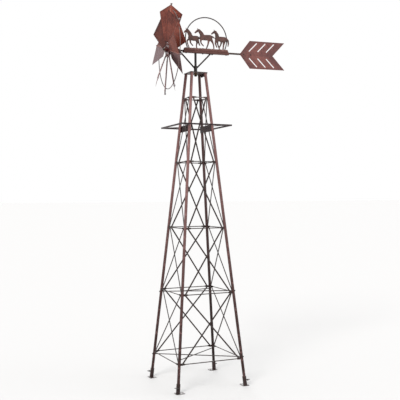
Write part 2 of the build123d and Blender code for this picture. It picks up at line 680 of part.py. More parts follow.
# --- Arch over the horses ---
ARCH_DROP = ARCH_CENTRE[1] - SADDLE_TOP + 4.0
with BuildPart() as arch:
    with BuildLine(side_plane(ARCH_SIDE)) as arch_line:
        half_chord = sqrt(ARCH_RADIUS**2 - ARCH_DROP**2)
        ThreePointArc(
            (ARCH_CENTRE[0] - half_chord, ARCH_CENTRE[1] - ARCH_DROP),
            (ARCH_CENTRE[0], ARCH_CENTRE[1] + ARCH_RADIUS),
            (ARCH_CENTRE[0] + half_chord, ARCH_CENTRE[1] - ARCH_DROP),
        )
    with BuildSketch(Plane(origin=arch_line.line @ 0, z_dir=arch_line.line % 0)):
        Circle(ARCH_ROD_R)
    sweep()
    split(bisect_by=level_plane(0, SADDLE_TOP), keep=Keep.TOP)
save(arch.part, "arch")


# --- Horses: flat figures, each limb a chain of discs (d, height, radius) joined by tapers ---
def limb(chain):
    """The outline of one limb, as a face in the figure's plane."""
    with BuildSketch() as outline:
        for (x0, y0, r0), (x1, y1, r1) in zip(chain, chain[1:]):
            run = Vector(x1 - x0, y1 - y0)
            side = Vector(-run.Y, run.X).normalized()
            Polygon(
                (x0 + side.X * r0, y0 + side.Y * r0), (x0 - side.X * r0, y0 - side.Y * r0),
                (x1 - side.X * r1, y1 - side.Y * r1), (x1 + side.X * r1, y1 + side.Y * r1),
                align=None,
            )
        for x, y, radius in chain:
            with Locations((x, y)):
                Circle(radius)
    return outline.sketch


def make_horse(limbs, shift):
    """A horse cut from plate, standing on the saddle, its middle shifted aside from the boom."""
    outlines = [limb(chain) for chain in limbs]
    with BuildPart() as horse:
        with BuildSketch(side_plane(shift)):
            add(outlines)
        extrude(amount=HORSE_THICK / 2, both=True)
        split(bisect_by=level_plane(0, SADDLE_TOP), keep=Keep.TOP)
    return horse.part


HORSE_1 = [
    [(-35, 88, 15.5), (-14, 84, 17), (8, 85, 16.5)],              # trunk
    [(-33, 97, 14), (-41, 114, 13), (-52, 131, 10)],              # neck, with its mane
    [(-56, 133, 9), (-67, 127, 6.5), (-75, 120, 4.6)],            # head
    [(-61, 140, 3), (-65, 148, 1.4)],                             # ear
    [(-44, 78, 7), (-57, 66, 4.6), (-55, 50, 3.6), (-43, 20, 3.6)],  # standing foreleg
    [(-36, 74, 7), (-34, 54, 4.2), (-19, 37, 3.6)],               # lifted foreleg
    [(8, 76, 10), (11, 58, 6.2), (6, 40, 3.8), (8, 20, 3.8)],     # standing hind leg
    [(14, 76, 9), (22, 57, 5.2), (29, 41, 3.8)],                  # lifted hind leg
    [(19, 93, 5), (28, 84, 3.6)],                                 # tail
]
HORSE_2 = [
    [(43, 92, 17.5), (68, 92, 18.5), (97, 94, 18)],
    [(46, 102, 15), (37, 119, 13), (24, 135, 9.5)],
    [(18, 137, 8.5), (5, 127, 6.5), (-4, 120, 4.8)],
    [(14, 143, 3), (11, 149, 1.4)],
    [(37, 82, 9), (34, 66, 5.4), (37, 54, 4.2), (52, 38, 3.8)],
    [(94, 85, 11), (88, 70, 7), (85, 52, 4.8), (73, 20, 3.8)],
    [(104, 85, 11), (117, 62, 5.8), (123, 46, 4.4), (125, 20, 3.8)],
    [(108, 102, 6), (118, 99, 5), (128, 93, 3.6)],
]
HORSE_3 = [
    [(149, 92, 15), (171, 90, 17), (199, 89, 17.5)],
    [(150, 101, 14), (147, 118, 12), (138, 134, 9.5)],
    [(133, 136, 8.5), (122, 129, 6.5), (112, 121, 4.6)],
    [(130, 142, 3), (127, 149, 1.4)],
    [(142, 82, 8), (137, 60, 5.2), (147, 36, 3.8)],
    [(151, 80, 8), (153, 56, 4.6), (167, 20, 3.8)],
    [(181, 78, 8), (175, 55, 4.8), (163, 32, 3.8)],
    [(199, 78, 10), (194, 52, 5.4), (190, 20, 4)],
    [(213, 97, 6), (225, 83, 6.5), (228, 62, 4.8), (225, 45, 2.6)],
]
save(make_horse(HORSE_1, -1.5), "horse_1")
save(make_horse(HORSE_2, -6.8), "horse_2")
save(make_horse(HORSE_3, -1.5), "horse_3")

# --- Tail vane: a fletched sheet bolted to the boom's flat ---
with BuildPart() as tail_vane:
    with BuildSketch(side_plane(-0.02)):
        Polygon(
            (VANE_APEX, 0), (VANE_SHOULDER, VANE_HALF), (VANE_BACK, VANE_HALF), (VANE_NOTCH, 0),
            (VANE_BACK, -VANE_HALF), (VANE_SHOULDER, -VANE_HALF), align=None,
        )
        for number in range(VANE_SLOTS):
            middle_d = VANE_SLOT_START[0] + VANE_SLOT_RUN / 2 + number * VANE_SLOT_PITCH
            middle_h = VANE_SLOT_START[1] + VANE_SLOT_RUN / 2
            for side in (1, -1):
                with Locations(Location((middle_d, side * middle_h), side * 45)):
                    SlotOverall(VANE_SLOT_RUN * sqrt(2), VANE_SLOT_WIDTH, mode=Mode.SUBTRACT)
        with Locations(*[(d, 0) for d in VANE_BOLTS]):
            Circle(SMALL_HOLE_R, mode=Mode.SUBTRACT)
    extrude(amount=VANE_THICK)
save(tail_vane.part, "tail_vane")

vane_seat = side_plane(-VANE_THICK - 0.05)
vane_bolts = [
    bolt(
        Plane(origin=vane_seat.from_local_coords((d, 0, 0)), x_dir=TAILWARD, z_dir=-ASIDE),
        SMALL_BOLT_R, VANE_THICK + BOOM_R + 0.1, across=SMALL_ACROSS,
    )
    for d in VANE_BOLTS
]
save(gather(vane_bolts), "vane_bolts")

with BuildPart() as axle_nut:
    with BuildSketch(across_plane(HUB_FRONT - HUB_BUSH_FLANGE - RUNNING_GAP)):
        RegularPolygon(AXLE_NUT_ACROSS / 2, 6, major_radius=False)
        Circle(JOURNAL_R + 0.02, mode=Mode.SUBTRACT)
    extrude(amount=-AXLE_NUT_HIGH)
save(axle_nut.part, "axle_nut")

# --- Wheel hub: barrel, two plates that clamp the spokes, bolts and bushes ---
save(annulus(across_plane(HUB_FRONT), HUB_R, HUB_BORE, HUB_REAR - HUB_FRONT), "hub_barrel")

SPOKE_R = ROD_R
front_plate = across_plane(WHEEL_D - SPOKE_R - HUB_PLATE_THICK)
rear_plate = across_plane(WHEEL_D + SPOKE_R)
SPOKE_STEP = 360.0 / BLADES


def make_hub_plate(plane):
    """A round plate on the barrel, drilled between the spokes."""
    with BuildPart() as plate:
        with BuildSketch(plane):
            Circle(HUB_PLATE_R)
            Circle(HUB_R + 0.02, mode=Mode.SUBTRACT)
            with PolarLocations(HUB_BOLT_CIRCLE, BLADES, start_angle=FIRST_SPOKE + SPOKE_STEP / 2):
                Circle(BOLT_HOLE_R, mode=Mode.SUBTRACT)
        extrude(amount=HUB_PLATE_THICK)
    return plate.part


save(make_hub_plate(front_plate), "hub_plate_front")
save(make_hub_plate(rear_plate), "hub_plate_rear")


def spoke_directions(number):
    """Outward, tangential, chord and backward directions of one blade."""
    angle = radians(FIRST_SPOKE - number * SPOKE_STEP)
    pitch = radians(BLADE_PITCH)
    outward = ASIDE * cos(angle) + UP * sin(angle)
    tangent = UP * cos(angle) - ASIDE * sin(angle)
    chord = tangent * cos(pitch) + TAILWARD * sin(pitch)
    backward = TAILWARD * cos(pitch) - tangent * sin(pitch)
    return outward, chord, backward


WHEEL_CENTRE = HEAD_CENTRE + TAILWARD * WHEEL_D


def make_hub_bolt(number):
    """A bolt through both hub plates, between two spokes."""
    angle = radians(FIRST_SPOKE + (number + 0.5) * SPOKE_STEP)
    outward = ASIDE * cos(angle) + UP * sin(angle)
    face = WHEEL_CENTRE - TAILWARD * (SPOKE_R + HUB_PLATE_THICK) + outward * HUB_BOLT_CIRCLE
    seat = Plane(origin=face, x_dir=outward, z_dir=-TAILWARD)
    return bolt(seat, BOLT_R, 2 * (SPOKE_R + HUB_PLATE_THICK))


save(gather([make_hub_bolt(number) for number in range(BLADES)]), "hub_bolts")


def make_bush(end_d, way):
    """A flanged bush pressed into one end of the barrel. way is +1 for the rear end."""
    bore = JOURNAL_R + JOURNAL_CLEARANCE
    with BuildPart() as bush:
        with BuildSketch(across_plane(end_d)):
            Circle(HUB_BORE)
            Circle(bore, mode=Mode.SUBTRACT)
        extrude(amount=-way * BUSH_LENGTH)
        with BuildSketch(across_plane(end_d)):
            Circle(HUB_BUSH_FLANGE_R)
            Circle(bore, mode=Mode.SUBTRACT)
        extrude(amount=way * HUB_BUSH_FLANGE)
    return bush.part


save(gather([make_bush(HUB_FRONT, -1), make_bush(HUB_REAR, 1)]), "hub_bushes")


# --- Spokes, hoop and blades ---
def make_spoke(number):
    """A round spoke with a cap at its tip."""
    outward, _, _ = spoke_directions(number)
    with BuildPart() as spoke:
        with BuildSketch(Plane(origin=WHEEL_CENTRE + outward * SPOKE_START, z_dir=outward)):
            Circle(SPOKE_R)
        extrude(amount=SPOKE_END - SPOKE_START)
        with BuildSketch(Plane(origin=WHEEL_CENTRE + outward * SPOKE_END, z_dir=outward)):
            Circle(SPOKE_CAP_R)
        extrude(amount=-SPOKE_CAP)
    return spoke.part


save(gather([make_spoke(number) for number in range(BLADES)]), "spokes")

HOOP_D = WHEEL_D + SPOKE_R + HOOP_R + BLADE_STANDOFF


def hoop_ring(section_radius):
    """A ring of round section about the boom's axis."""
    with BuildPart() as ring:
        with BuildSketch(side_plane()):
            with Locations((HOOP_D, HOOP_RADIUS)):
                Circle(section_radius)
        revolve(axis=SHAFT_AXIS)
    return ring.part


save(hoop_ring(HOOP_R), "hoop")
hoop_clearance = hoop_ring(HOOP_SLOT_R)


def make_blade(number):
    """A kite-shaped sheet, slightly folded along its spoke, with a slot where the hoop passes."""
    outward, chord, backward = spoke_directions(number)
    drop = BLADE_HALF * sin(radians(BLADE_FOLD))
    back = -SPOKE_R - BLADE_STANDOFF
    front = back - BLADE_THICK
    root = Plane(origin=WHEEL_CENTRE + outward * BLADE_ROOT, x_dir=chord, z_dir=outward)
    face = Plane(origin=WHEEL_CENTRE, x_dir=chord, z_dir=-backward)
    with BuildPart() as blade:
        with BuildSketch(root):
            Polygon(
                (-BLADE_HALF, back + drop), (0, back), (BLADE_HALF, back + drop),
                (BLADE_HALF, front + drop), (0, front), (-BLADE_HALF, front + drop), align=None,
            )
        extrude(amount=BLADE_TIP - BLADE_ROOT)
        with BuildSketch(face):
            Polygon(
                (-BLADE_ROOT_HALF, BLADE_ROOT), (-BLADE_HALF, BLADE_SHOULDER), (0, BLADE_TIP),
                (BLADE_HALF, BLADE_SHOULDER), (BLADE_ROOT_HALF, BLADE_ROOT), align=None,
            )
        extrude(amount=BLADE_ROOT, both=True, mode=Mode.INTERSECT)
        add(hoop_clearance, mode=Mode.SUBTRACT)
    return blade.part


for number in range(BLADES):
    save(make_blade(number), f"blade_{number + 1}")
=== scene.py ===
# %% [markdown]
# # A garden windmill, from its CAD frame to a finished picture
# The real thing is a kit of brown-coated steel: a lattice tower on four feet, a head that turns with
# the wind, a bladed wheel, a tail vane, and three horses running over the boom under an arch.
# The imported CAD model holds every place and size. This script adds what a maker would see on
# the finished object: pressed and hemmed sheet, welds, castings in relief, and worn paint. It also
# paints light and shade into the colours: painted highlights, sheen and shade on the sheet and legs.

import json
import math
import random

import bmesh
import bpy
import numpy as np
from mathutils import Matrix, Vector, kdtree, noise


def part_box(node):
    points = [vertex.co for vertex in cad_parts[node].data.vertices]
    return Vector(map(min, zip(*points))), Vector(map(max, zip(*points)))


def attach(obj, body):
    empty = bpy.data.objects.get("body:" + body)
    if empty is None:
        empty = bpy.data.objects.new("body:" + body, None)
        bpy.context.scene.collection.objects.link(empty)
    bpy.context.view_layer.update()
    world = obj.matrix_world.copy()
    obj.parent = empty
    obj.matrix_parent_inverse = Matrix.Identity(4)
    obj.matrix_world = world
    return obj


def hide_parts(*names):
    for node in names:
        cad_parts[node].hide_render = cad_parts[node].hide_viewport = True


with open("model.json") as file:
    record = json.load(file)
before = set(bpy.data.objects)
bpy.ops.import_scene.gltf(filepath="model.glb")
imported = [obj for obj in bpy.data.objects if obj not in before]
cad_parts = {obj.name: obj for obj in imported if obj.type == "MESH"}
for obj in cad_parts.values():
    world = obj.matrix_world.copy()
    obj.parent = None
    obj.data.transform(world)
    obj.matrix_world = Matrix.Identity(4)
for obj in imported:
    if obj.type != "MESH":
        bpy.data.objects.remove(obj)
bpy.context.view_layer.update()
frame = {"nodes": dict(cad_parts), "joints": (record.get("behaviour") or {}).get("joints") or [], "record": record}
nodes = frame["nodes"]

# %% [markdown]
# The head turns about an upright pivot and the wheel about the boom. Both axes are joints in the
# record, so the directions that every later piece needs are read from there: towards the tail,
# aside from the boom, and up.

# %% Directions and places of the head
joints = {joint["name"]: joint for joint in frame["joints"]}
wheel_joint = joints["wheel_spin"]
UP = Vector((0, 0, 1))
TAILWARD = Vector(wheel_joint["axis"]).normalized()
ASIDE = UP.cross(TAILWARD).normalized()
WHEEL_CENTRE = Vector(wheel_joint["pos_m"])
SHAFT = Vector((0, 0, WHEEL_CENTRE.z))
WHEEL_D = (WHEEL_CENTRE - SHAFT).dot(TAILWARD)
MM = 0.001


def head_point(d, h, shift=0.0):
    """A point of the head: d towards the tail, h above the boom, shifted aside, all in metres."""
    return SHAFT + TAILWARD * d + UP * h + ASIDE * shift


print("wheel centre", [round(x, 4) for x in WHEEL_CENTRE], "at", round(WHEEL_D, 4), "along the boom")

# %% [markdown]
# ## Camera
# The windmill is tall and thin, so it is seen level, from about half its height and well back, with
# a slightly long lens. A level camera keeps the tower's lines upright. It stands to the left of the
# tower's front, so the tower shows one corner and the wheel is seen almost from its edge.

# %% Camera
CAMERA_AZIMUTH, CAMERA_DISTANCE, CAMERA_HEIGHT = math.radians(-23.97), 4.631, 1.190
AIM_AZIMUTH, AIM_PITCH, AIM_ROLL = math.radians(-24.27), -0.0030, -0.0054
LENS = 64.15

camera = bpy.data.objects.new("camera", bpy.data.cameras.new("camera"))
bpy.context.scene.collection.objects.link(camera)
camera.data.lens = LENS
camera.location = (
    math.sin(CAMERA_AZIMUTH) * CAMERA_DISTANCE, -math.cos(CAMERA_AZIMUTH) * CAMERA_DISTANCE,
    CAMERA_HEIGHT,
)
camera.rotation_mode = "QUATERNION"
turn = Matrix.Rotation(AIM_AZIMUTH, 4, "Z") @ Matrix.Rotation(math.pi / 2 + AIM_PITCH, 4, "X")
camera.rotation_quaternion = (turn @ Matrix.Rotation(AIM_ROLL, 4, "Z")).to_quaternion()
bpy.context.scene.camera = camera
print("camera at", [round(x, 3) for x in camera.location])

# %% [markdown]
# ## Studio
# A pale floor and a plain white surround give soft light from everywhere. Three wide suns shape the
# round members: one key from high on the left, a weak fill from the right, and one from behind that
# draws a thin bright line along the tubes. A sun lights the whole floor alike, so the floor can be
# matched to the surround: nothing behind a thin rod is brighter than white, which would swallow it.

# %% Floor, surround and suns
def make_sun(name, side, width, power, tint):
    """A soft sun, width degrees wide, that shines from one side. Gives the light it lays on a floor."""
    data = bpy.data.lights.new(name, "SUN")
    data.energy, data.color, data.angle = power, tint, math.radians(width)
    sun = bpy.data.objects.new(name, data)
    bpy.context.scene.collection.objects.link(sun)
    sun.rotation_mode = "QUATERNION"
    sun.rotation_quaternion = Vector(side).to_track_quat("Z", "Y")
    return power * Vector(side).normalized().z / math.pi


SURROUND = 1.0
lit = SURROUND
lit += make_sun("key", (-0.62, -0.52, 0.58), 24, 2.4, (1.0, 0.97, 0.94))
lit += make_sun("fill", (0.80, -0.45, 0.40), 40, 0.9, (0.96, 0.97, 1.0))
lit += make_sun("back", (0.30, 0.85, 0.45), 30, 1.3, (1.0, 1.0, 1.0))

world = bpy.data.worlds.new("surround")
world.use_nodes = True
world.node_tree.nodes["Background"].inputs["Color"].default_value = (1.0, 1.0, 1.0, 1.0)
world.node_tree.nodes["Background"].inputs["Strength"].default_value = SURROUND
bpy.context.scene.world = world
bpy.context.scene.view_settings.view_transform = "Standard"

FLOOR_SIZE, FLOOR_BRIGHTNESS = 400.0, 0.985
bpy.ops.mesh.primitive_grid_add(x_subdivisions=8, y_subdivisions=8, size=FLOOR_SIZE)
floor = bpy.context.object
floor.name = "floor"
print("light on the floor", round(lit, 3), "so its shade is", round(FLOOR_BRIGHTNESS / lit, 3))

# %% [markdown]
# ## Shader expressions
# A finish is easier to read as arithmetic than as a web of nodes. `Term` wraps one output socket, and
# its operators add Math nodes, so `1 - mask * 0.5` is a network. `Finish` is one material. Its `node`
# method makes any other node from its type, its settings and what feeds it.

# %% Term and Finish
class Term:
    """One output socket in an expression."""

    def __init__(self, finish, socket):
        self.finish, self.socket = finish, socket

    def math(self, operation, first, second):
        return self.finish.node("Math", {"operation": operation}, {0: first, 1: second})

    def __add__(self, other):
        return self.math("ADD", self, other)

    __radd__ = __add__

    def __mul__(self, other):
        return self.math("MULTIPLY", self, other)

    __rmul__ = __mul__

    def __sub__(self, other):
        return self.math("SUBTRACT", self, other)

    def __rsub__(self, other):
        return self.math("SUBTRACT", other, self)

    def clamped(self):
        return self.finish.node("Clamp", {}, {"Value": self})


class Finish:
    """One material, written as a few expressions that end in its shader."""

    def __init__(self, name):
        self.material = bpy.data.materials.new(name)
        self.material.use_nodes = True
        self.tree = self.material.node_tree
        self.shader = self.tree.nodes["Principled BSDF"]
        self.place = self.node("TexCoord", {}, {}, "Object")

    def feed(self, socket, value):
        if isinstance(value, Term):
            self.tree.links.new(value.socket, socket)
        elif isinstance(value, tuple) and len(value) == 3 and socket.type == "RGBA":
            socket.default_value = (*value, 1.0)
        else:
            socket.default_value = value

    def node(self, kind, settings, feeds, output=0):
        made = self.tree.nodes.new("ShaderNode" + kind)
        for key, value in settings.items():
            if key == "stops":
                self.set_stops(made.color_ramp, value)
            else:
                setattr(made, key, value)
        for key, value in feeds.items():
            self.feed(made.inputs[key], value)
        return Term(self, made.outputs[output])

    @staticmethod
    def set_stops(ramp, stops):
        while len(ramp.elements) < len(stops):
            ramp.elements.new(0.5)
        for element, (position, colour) in zip(ramp.elements, stops):
            element.position, element.color = position, (*colour, 1.0)

    def noise(self, scale, detail=4.0, rough=0.55):
        feeds = {"Vector": self.place, "Scale": scale, "Detail": detail, "Roughness": rough}
        return self.node("TexNoise", {}, feeds, "Fac")

    def step(self, value, low, high):
        """0 below low and 1 above high, smooth between."""
        feeds = {"Value": value, "From Min": low, "From Max": high}
        return self.node("MapRange", {"interpolation_type": "SMOOTHSTEP"}, feeds, "Result")

    def ramp(self, value, stops):
        return self.node("ValToRGB", {"stops": stops}, {"Fac": value}, "Color")

    def blend(self, amount, under, over):
        mix = self.tree.nodes.new("ShaderNodeMix")
        mix.data_type = "RGBA"
        self.feed(mix.inputs["Factor"], amount)
        self.feed(mix.inputs[6], under)
        self.feed(mix.inputs[7], over)
        return Term(self, mix.outputs[2])

    def scaled(self, colour, factor):
        return self.node("VectorMath", {"operation": "SCALE"}, {0: colour, "Scale": factor}, "Vector")

    def attribute(self, name):
        return self.node("Attribute", {"attribute_name": name}, {}, "Fac")

    def bump(self, height, depth, strength=1.0):
        feeds = {"Height": height, "Distance": depth, "Strength": strength}
        return self.node("Bump", {}, feeds, "Normal")

    def end(self, **feeds):
        for key, value in feeds.items():
            self.feed(self.shader.inputs[key.replace("_", " ")], value)
        return self.material


floor_finish = Finish("floor_matt")
speckle = floor_finish.noise(1.5, 2.0)
floor_shade = FLOOR_BRIGHTNESS / lit
floor.data.materials.append(
    floor_finish.end(
        Base_Color=floor_finish.blend(
            speckle * 0.03, (floor_shade,) * 3, (floor_shade * 0.97,) * 3
        ),
        Roughness=0.9, Specular_IOR_Level=0.0,
    )
)
print("Term and Finish are ready, and the floor is painted")

# %% [markdown]
# ## Finishes
# Nearly everything wears the same paint, a dark brown enamel, but it looks different on each piece.
# On the sheet it is mottled like rust, with warm patches, painted shade along the hems, a painted
# highlight on the creases and a painted sheen on some blades. On the tubes it is darker with a satin
# gloss, and the legs are painted lighter upwards, as if lit from above. The thin rods are greyer.
# Each finish is a short function that starts from noise at two or three sizes, since one size alone
# looks like a pattern and not like wear.

# %% Rust-brown sheet, for the blades and the vane
DARK_RUST_AND_SHADE, MID_RUST, WARM_RUST, PALE_RUST_AND_HIGHLIGHT = (
    (0.050, 0.009, 0.006), (0.140, 0.032, 0.021), (0.215, 0.058, 0.036), (0.440, 0.200, 0.160)
)
CHALK_AND_SHEEN = (0.150, 0.108, 0.114)       # chalky bloom of weathered sheet, and a painted sheen where a blade reflects the white surround


def rust_sheet(name, shade=1.0):
    """Mottled brown paint on sheet steel, with painted shade at its hem, a painted highlight on its crease, chalky
    bloom and a painted sheen, and each half painted lighter or darker.
    """
    finish = Finish(name)
    cloud = finish.noise(8.0, 5.0, 0.62)
    grain = finish.noise(62.0, 4.0, 0.72)
    fine = finish.noise(420.0, 2.0, 0.6)
    blotch = cloud * 0.5 + grain * 0.5
    dark, mid, warm = (
        tuple(c * shade for c in colour) for colour in (DARK_RUST_AND_SHADE, MID_RUST, WARM_RUST)
    )
    colour = finish.ramp(blotch, [(0.38, dark), (0.50, mid), (0.62, warm)])
    freckles = finish.step(finish.noise(150.0, 2.0), 0.60, 0.68)
    colour = finish.blend(freckles * 0.22, colour, PALE_RUST_AND_HIGHLIGHT)
    # painted highlight along the pressed crease
    colour = finish.blend(finish.attribute("crease") * 0.75, colour, PALE_RUST_AND_HIGHLIGHT)
    # painted shade along the hems and rims
    colour = finish.blend(finish.attribute("hem") * 0.85, colour, dark)
    # chalky bloom in patches, and a painted sheen on the blade halves and edges given to it
    chalk = finish.attribute("chalk") * (0.5 + blotch * 0.9) + finish.step(cloud, 0.58, 0.75) * 0.10
    colour = finish.blend(chalk.clamped(), colour, CHALK_AND_SHEEN)
    # painted light and shade: each half of a blade is made lighter or darker
    colour = finish.scaled(colour, 1 + finish.attribute("tone"))
    height = grain * 0.6 + fine * 0.4 - freckles * 0.5
    return finish.end(
        Base_Color=colour, Metallic=0.0, Roughness=0.46 + grain * 0.30, Specular_IOR_Level=0.16,
        Normal=finish.bump(height, 0.0008, 0.5),
    )


print("sheet goes from", DARK_RUST_AND_SHADE, "to", WARM_RUST)

# %% Brown enamel, for tubes, rods and pressings
GROUND_SHADE = (0.260, 0.190, 0.165)


def brown_enamel(name, dark, light, gloss=0.30, wear=0.35, painted_rise=0.0, shine=0.22):
    """Satin enamel with an orange-peel skin, rubbed lighter in places, with painted shade in its grooves. With a
    rise it is painted lighter upwards, as if lit from above.
    """
    finish = Finish(name)
    drift = finish.noise(14.0, 3.0)
    peel = finish.noise(130.0, 2.0, 0.5)
    rubbed = finish.step(finish.noise(38.0, 5.0, 0.7), 0.52, 0.70)
    amount = drift * 0.8
    # painted light: the colour grows lighter with height, as if lit from above
    if painted_rise:
        height = finish.node("SeparateXYZ", {}, {"Vector": finish.place}, "Z")
        amount = drift * (1 - painted_rise) + finish.step(height, 0.1, 2.0) * painted_rise
    colour = finish.blend(amount, dark, light)
    colour = finish.blend(rubbed * wear, colour, tuple(min(1.0, c * 1.9 + 0.02) for c in light))
    colour = finish.blend(finish.attribute("ground") * (0.35 + rubbed * 0.65), colour, GROUND_SHADE)
    # painted shade in grooves and seams
    colour = finish.blend(finish.attribute("hem") * 0.8, colour, dark)
    return finish.end(
        Base_Color=colour, Metallic=0.05, Roughness=gloss + peel * 0.22, Specular_IOR_Level=shine,
        Normal=finish.bump(peel, 0.0005, 0.35),
    )


print("the rough ground is", GROUND_SHADE)

# %% Dark bronze, for the embossed horses
BRONZE_STOPS = [
    (0.36, (0.016, 0.007, 0.006)), (0.50, (0.062, 0.022, 0.018)), (0.64, (0.120, 0.046, 0.038))
]


def cast_bronze(name):
    """Olive-brown bronze paint, darker in the hollows and rubbed on the high places."""
    finish = Finish(name)
    cloud = finish.noise(28.0, 4.0, 0.6)
    grain = finish.noise(210.0, 3.0, 0.65)
    relief = finish.attribute("relief")
    colour = finish.ramp(cloud * 0.7 + grain * 0.3, BRONZE_STOPS)
    colour = finish.blend(relief * 0.20, colour, (0.130, 0.070, 0.052))
    return finish.end(
        Base_Color=colour, Metallic=0.15, Roughness=0.40 + grain * 0.25,
        Normal=finish.bump(grain, 0.0006, 0.5),
    )


print("bronze has", len(BRONZE_STOPS), "shades")

# %% Blackened steel and bearing bronze
def blackened_steel(name, shade=0.03):
    """Oxide-blacked steel, for screws, bolts and the collar."""
    finish = Finish(name)
    grain = finish.noise(260.0, 3.0, 0.6)
    spots = finish.step(finish.noise(90.0, 4.0), 0.58, 0.70)
    colour = finish.blend(spots * 0.5, (shade, shade * 0.85, shade * 0.80), (0.09, 0.05, 0.04))
    return finish.end(
        Base_Color=colour, Metallic=0.25, Roughness=0.38 + grain * 0.25,
        Normal=finish.bump(grain, 0.0004, 0.4),
    )


def bearing_bronze(name):
    """Oiled sintered bronze with fine turning marks."""
    finish = Finish(name)
    turning = finish.node(
        "TexWave", {"wave_type": "BANDS", "bands_direction": "Z"},
        {"Vector": finish.place, "Scale": 900.0, "Distortion": 1.5, "Detail": 2.0}, "Fac",
    )
    stain = finish.noise(120.0, 3.0)
    colour = finish.blend(stain, (0.16, 0.09, 0.04), (0.34, 0.21, 0.10))
    return finish.end(
        Base_Color=colour, Metallic=0.9, Roughness=0.28 + stain * 0.2,
        Normal=finish.bump(turning, 0.0002, 0.3),
    )


# %% One material for each slot of the record
LEG_DARK, LEG_LIGHT = (0.018, 0.007, 0.006), (0.165, 0.082, 0.078)
finishes = {
    "leg_paint": brown_enamel("leg_enamel", LEG_DARK, LEG_LIGHT, painted_rise=0.9),
    "foot_paint": brown_enamel("foot_enamel", (0.014, 0.008, 0.007), (0.040, 0.022, 0.020)),
    "rod_paint": brown_enamel("rod_enamel", (0.016, 0.011, 0.010), (0.048, 0.034, 0.031)),
    "platform_paint": brown_enamel("platform_enamel", (0.010, 0.005, 0.006), (0.030, 0.014, 0.015)),
    "plate_paint": brown_enamel("plate_enamel", (0.030, 0.018, 0.017), (0.080, 0.055, 0.050)),
    "saddle_paint": brown_enamel("saddle_enamel", (0.070, 0.026, 0.022), (0.190, 0.092, 0.078)),
    "hub_paint": brown_enamel(
        "hub_enamel", (0.030, 0.003, 0.003), (0.085, 0.010, 0.008), gloss=0.10, wear=0.1, shine=0.6
    ),
    "rust_sheet": rust_sheet("sheet_rust"),
    "horse_bronze": cast_bronze("horse_bronze"),
    "screw_dark": blackened_steel("screw_black", 0.022),
    "collar_dark": blackened_steel("collar_black", 0.015),
    "bearing": bearing_bronze("bush_bronze"),
}
print("finishes", sorted(finishes))

# %% [markdown]
# Every CAD node starts with the finish that its record gives it, so nothing is left plain. Pieces
# that are rebuilt below hide their CAD node and take the same finish.

# %% Dress the CAD nodes
slot_of = {entry["node"]: entry["material_slot"] for entry in frame["record"]["subparts"]}
for name, node in nodes.items():
    node.data.materials.clear()
    node.data.materials.append(finishes[slot_of[name]])
print("dressed", len(nodes), "nodes")

# %% [markdown]
# The four legs wear one coat, but each leg gets its own strength of it as painted light and shade:
# the front one is painted lit, a pinkish brown, and the rear one is painted in shade, nearly black.

# %% One coat for each leg
# painted light and shade: a lighter coat for a lit leg, a darker one for a shaded leg
LEG_PAINTED_LIGHT = {1: 1.25, 2: 1.00, 3: 0.50, 4: 1.10}
for number, strength in LEG_PAINTED_LIGHT.items():
    coat = brown_enamel(
        f"leg_enamel_{number}", tuple(c * strength for c in LEG_DARK),
        tuple(c * strength for c in LEG_LIGHT), painted_rise=0.9,
    )
    for part in ("lower", "upper"):
        nodes[f"leg_{part}_{number}"].data.materials[0] = coat
print("legs coated", len(LEG_PAINTED_LIGHT))

# %% [markdown]
# Some thin members have weathered apart from their neighbours as well. The spokes are bleached, the
# hoop is a little darker, the boom is almost as dark as the tower, and the top ring of tie rods has
# gone pale. They keep their slot, and only the coat is changed.

# %% Coats for the spokes, hoop, boom and top ring
COATS = {
    "spokes": ("spoke_enamel", (0.14, 0.12, 0.13), (0.30, 0.27, 0.28)),
    "hoop": ("hoop_enamel", (0.075, 0.050, 0.047), (0.20, 0.14, 0.13)),
    "boom": ("boom_enamel", (0.022, 0.013, 0.010), (0.070, 0.044, 0.034)),
    "tie_rods_5": ("pale_rod_enamel", (0.060, 0.045, 0.042), (0.160, 0.125, 0.120)),
}
for node_name, coat in COATS.items():
    nodes[node_name].data.materials[0] = brown_enamel(*coat)
knob_coat = brown_enamel("knob_enamel", (0.050, 0.022, 0.018), (0.120, 0.060, 0.050))
print("coats of their own", sorted(COATS))

# %% [markdown]
# ## Making pieces
# A new piece is built at its real place, takes a finish, rides on a CAD body, and stands for the CAD
# nodes that it replaces. One helper does all of that, so no piece can miss a step.

# %% Helpers for new pieces
SHARP_ANGLE = math.radians(38)


def mesh_from(bm, name):
    """A mesh made of a bmesh, smooth except at sharp edges."""
    bmesh.ops.recalc_face_normals(bm, faces=bm.faces)
    mesh = bpy.data.meshes.new(name)
    bm.to_mesh(mesh)
    bm.free()
    mesh.shade_smooth()
    mesh.set_sharp_from_angle(angle=SHARP_ANGLE)
    return mesh


def place_piece(mesh, name, body, slot_name, stands_for=(), coat=None):
    """One finished piece on its body. Its coat is the slot's own unless another is given."""
    piece = bpy.data.objects.new(name, mesh)
    bpy.context.scene.collection.objects.link(piece)
    mesh.materials.clear()
    mesh.materials.append(coat or finishes[slot_name])
    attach(piece, body)
    if stands_for:
        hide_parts(*stands_for)
    return piece


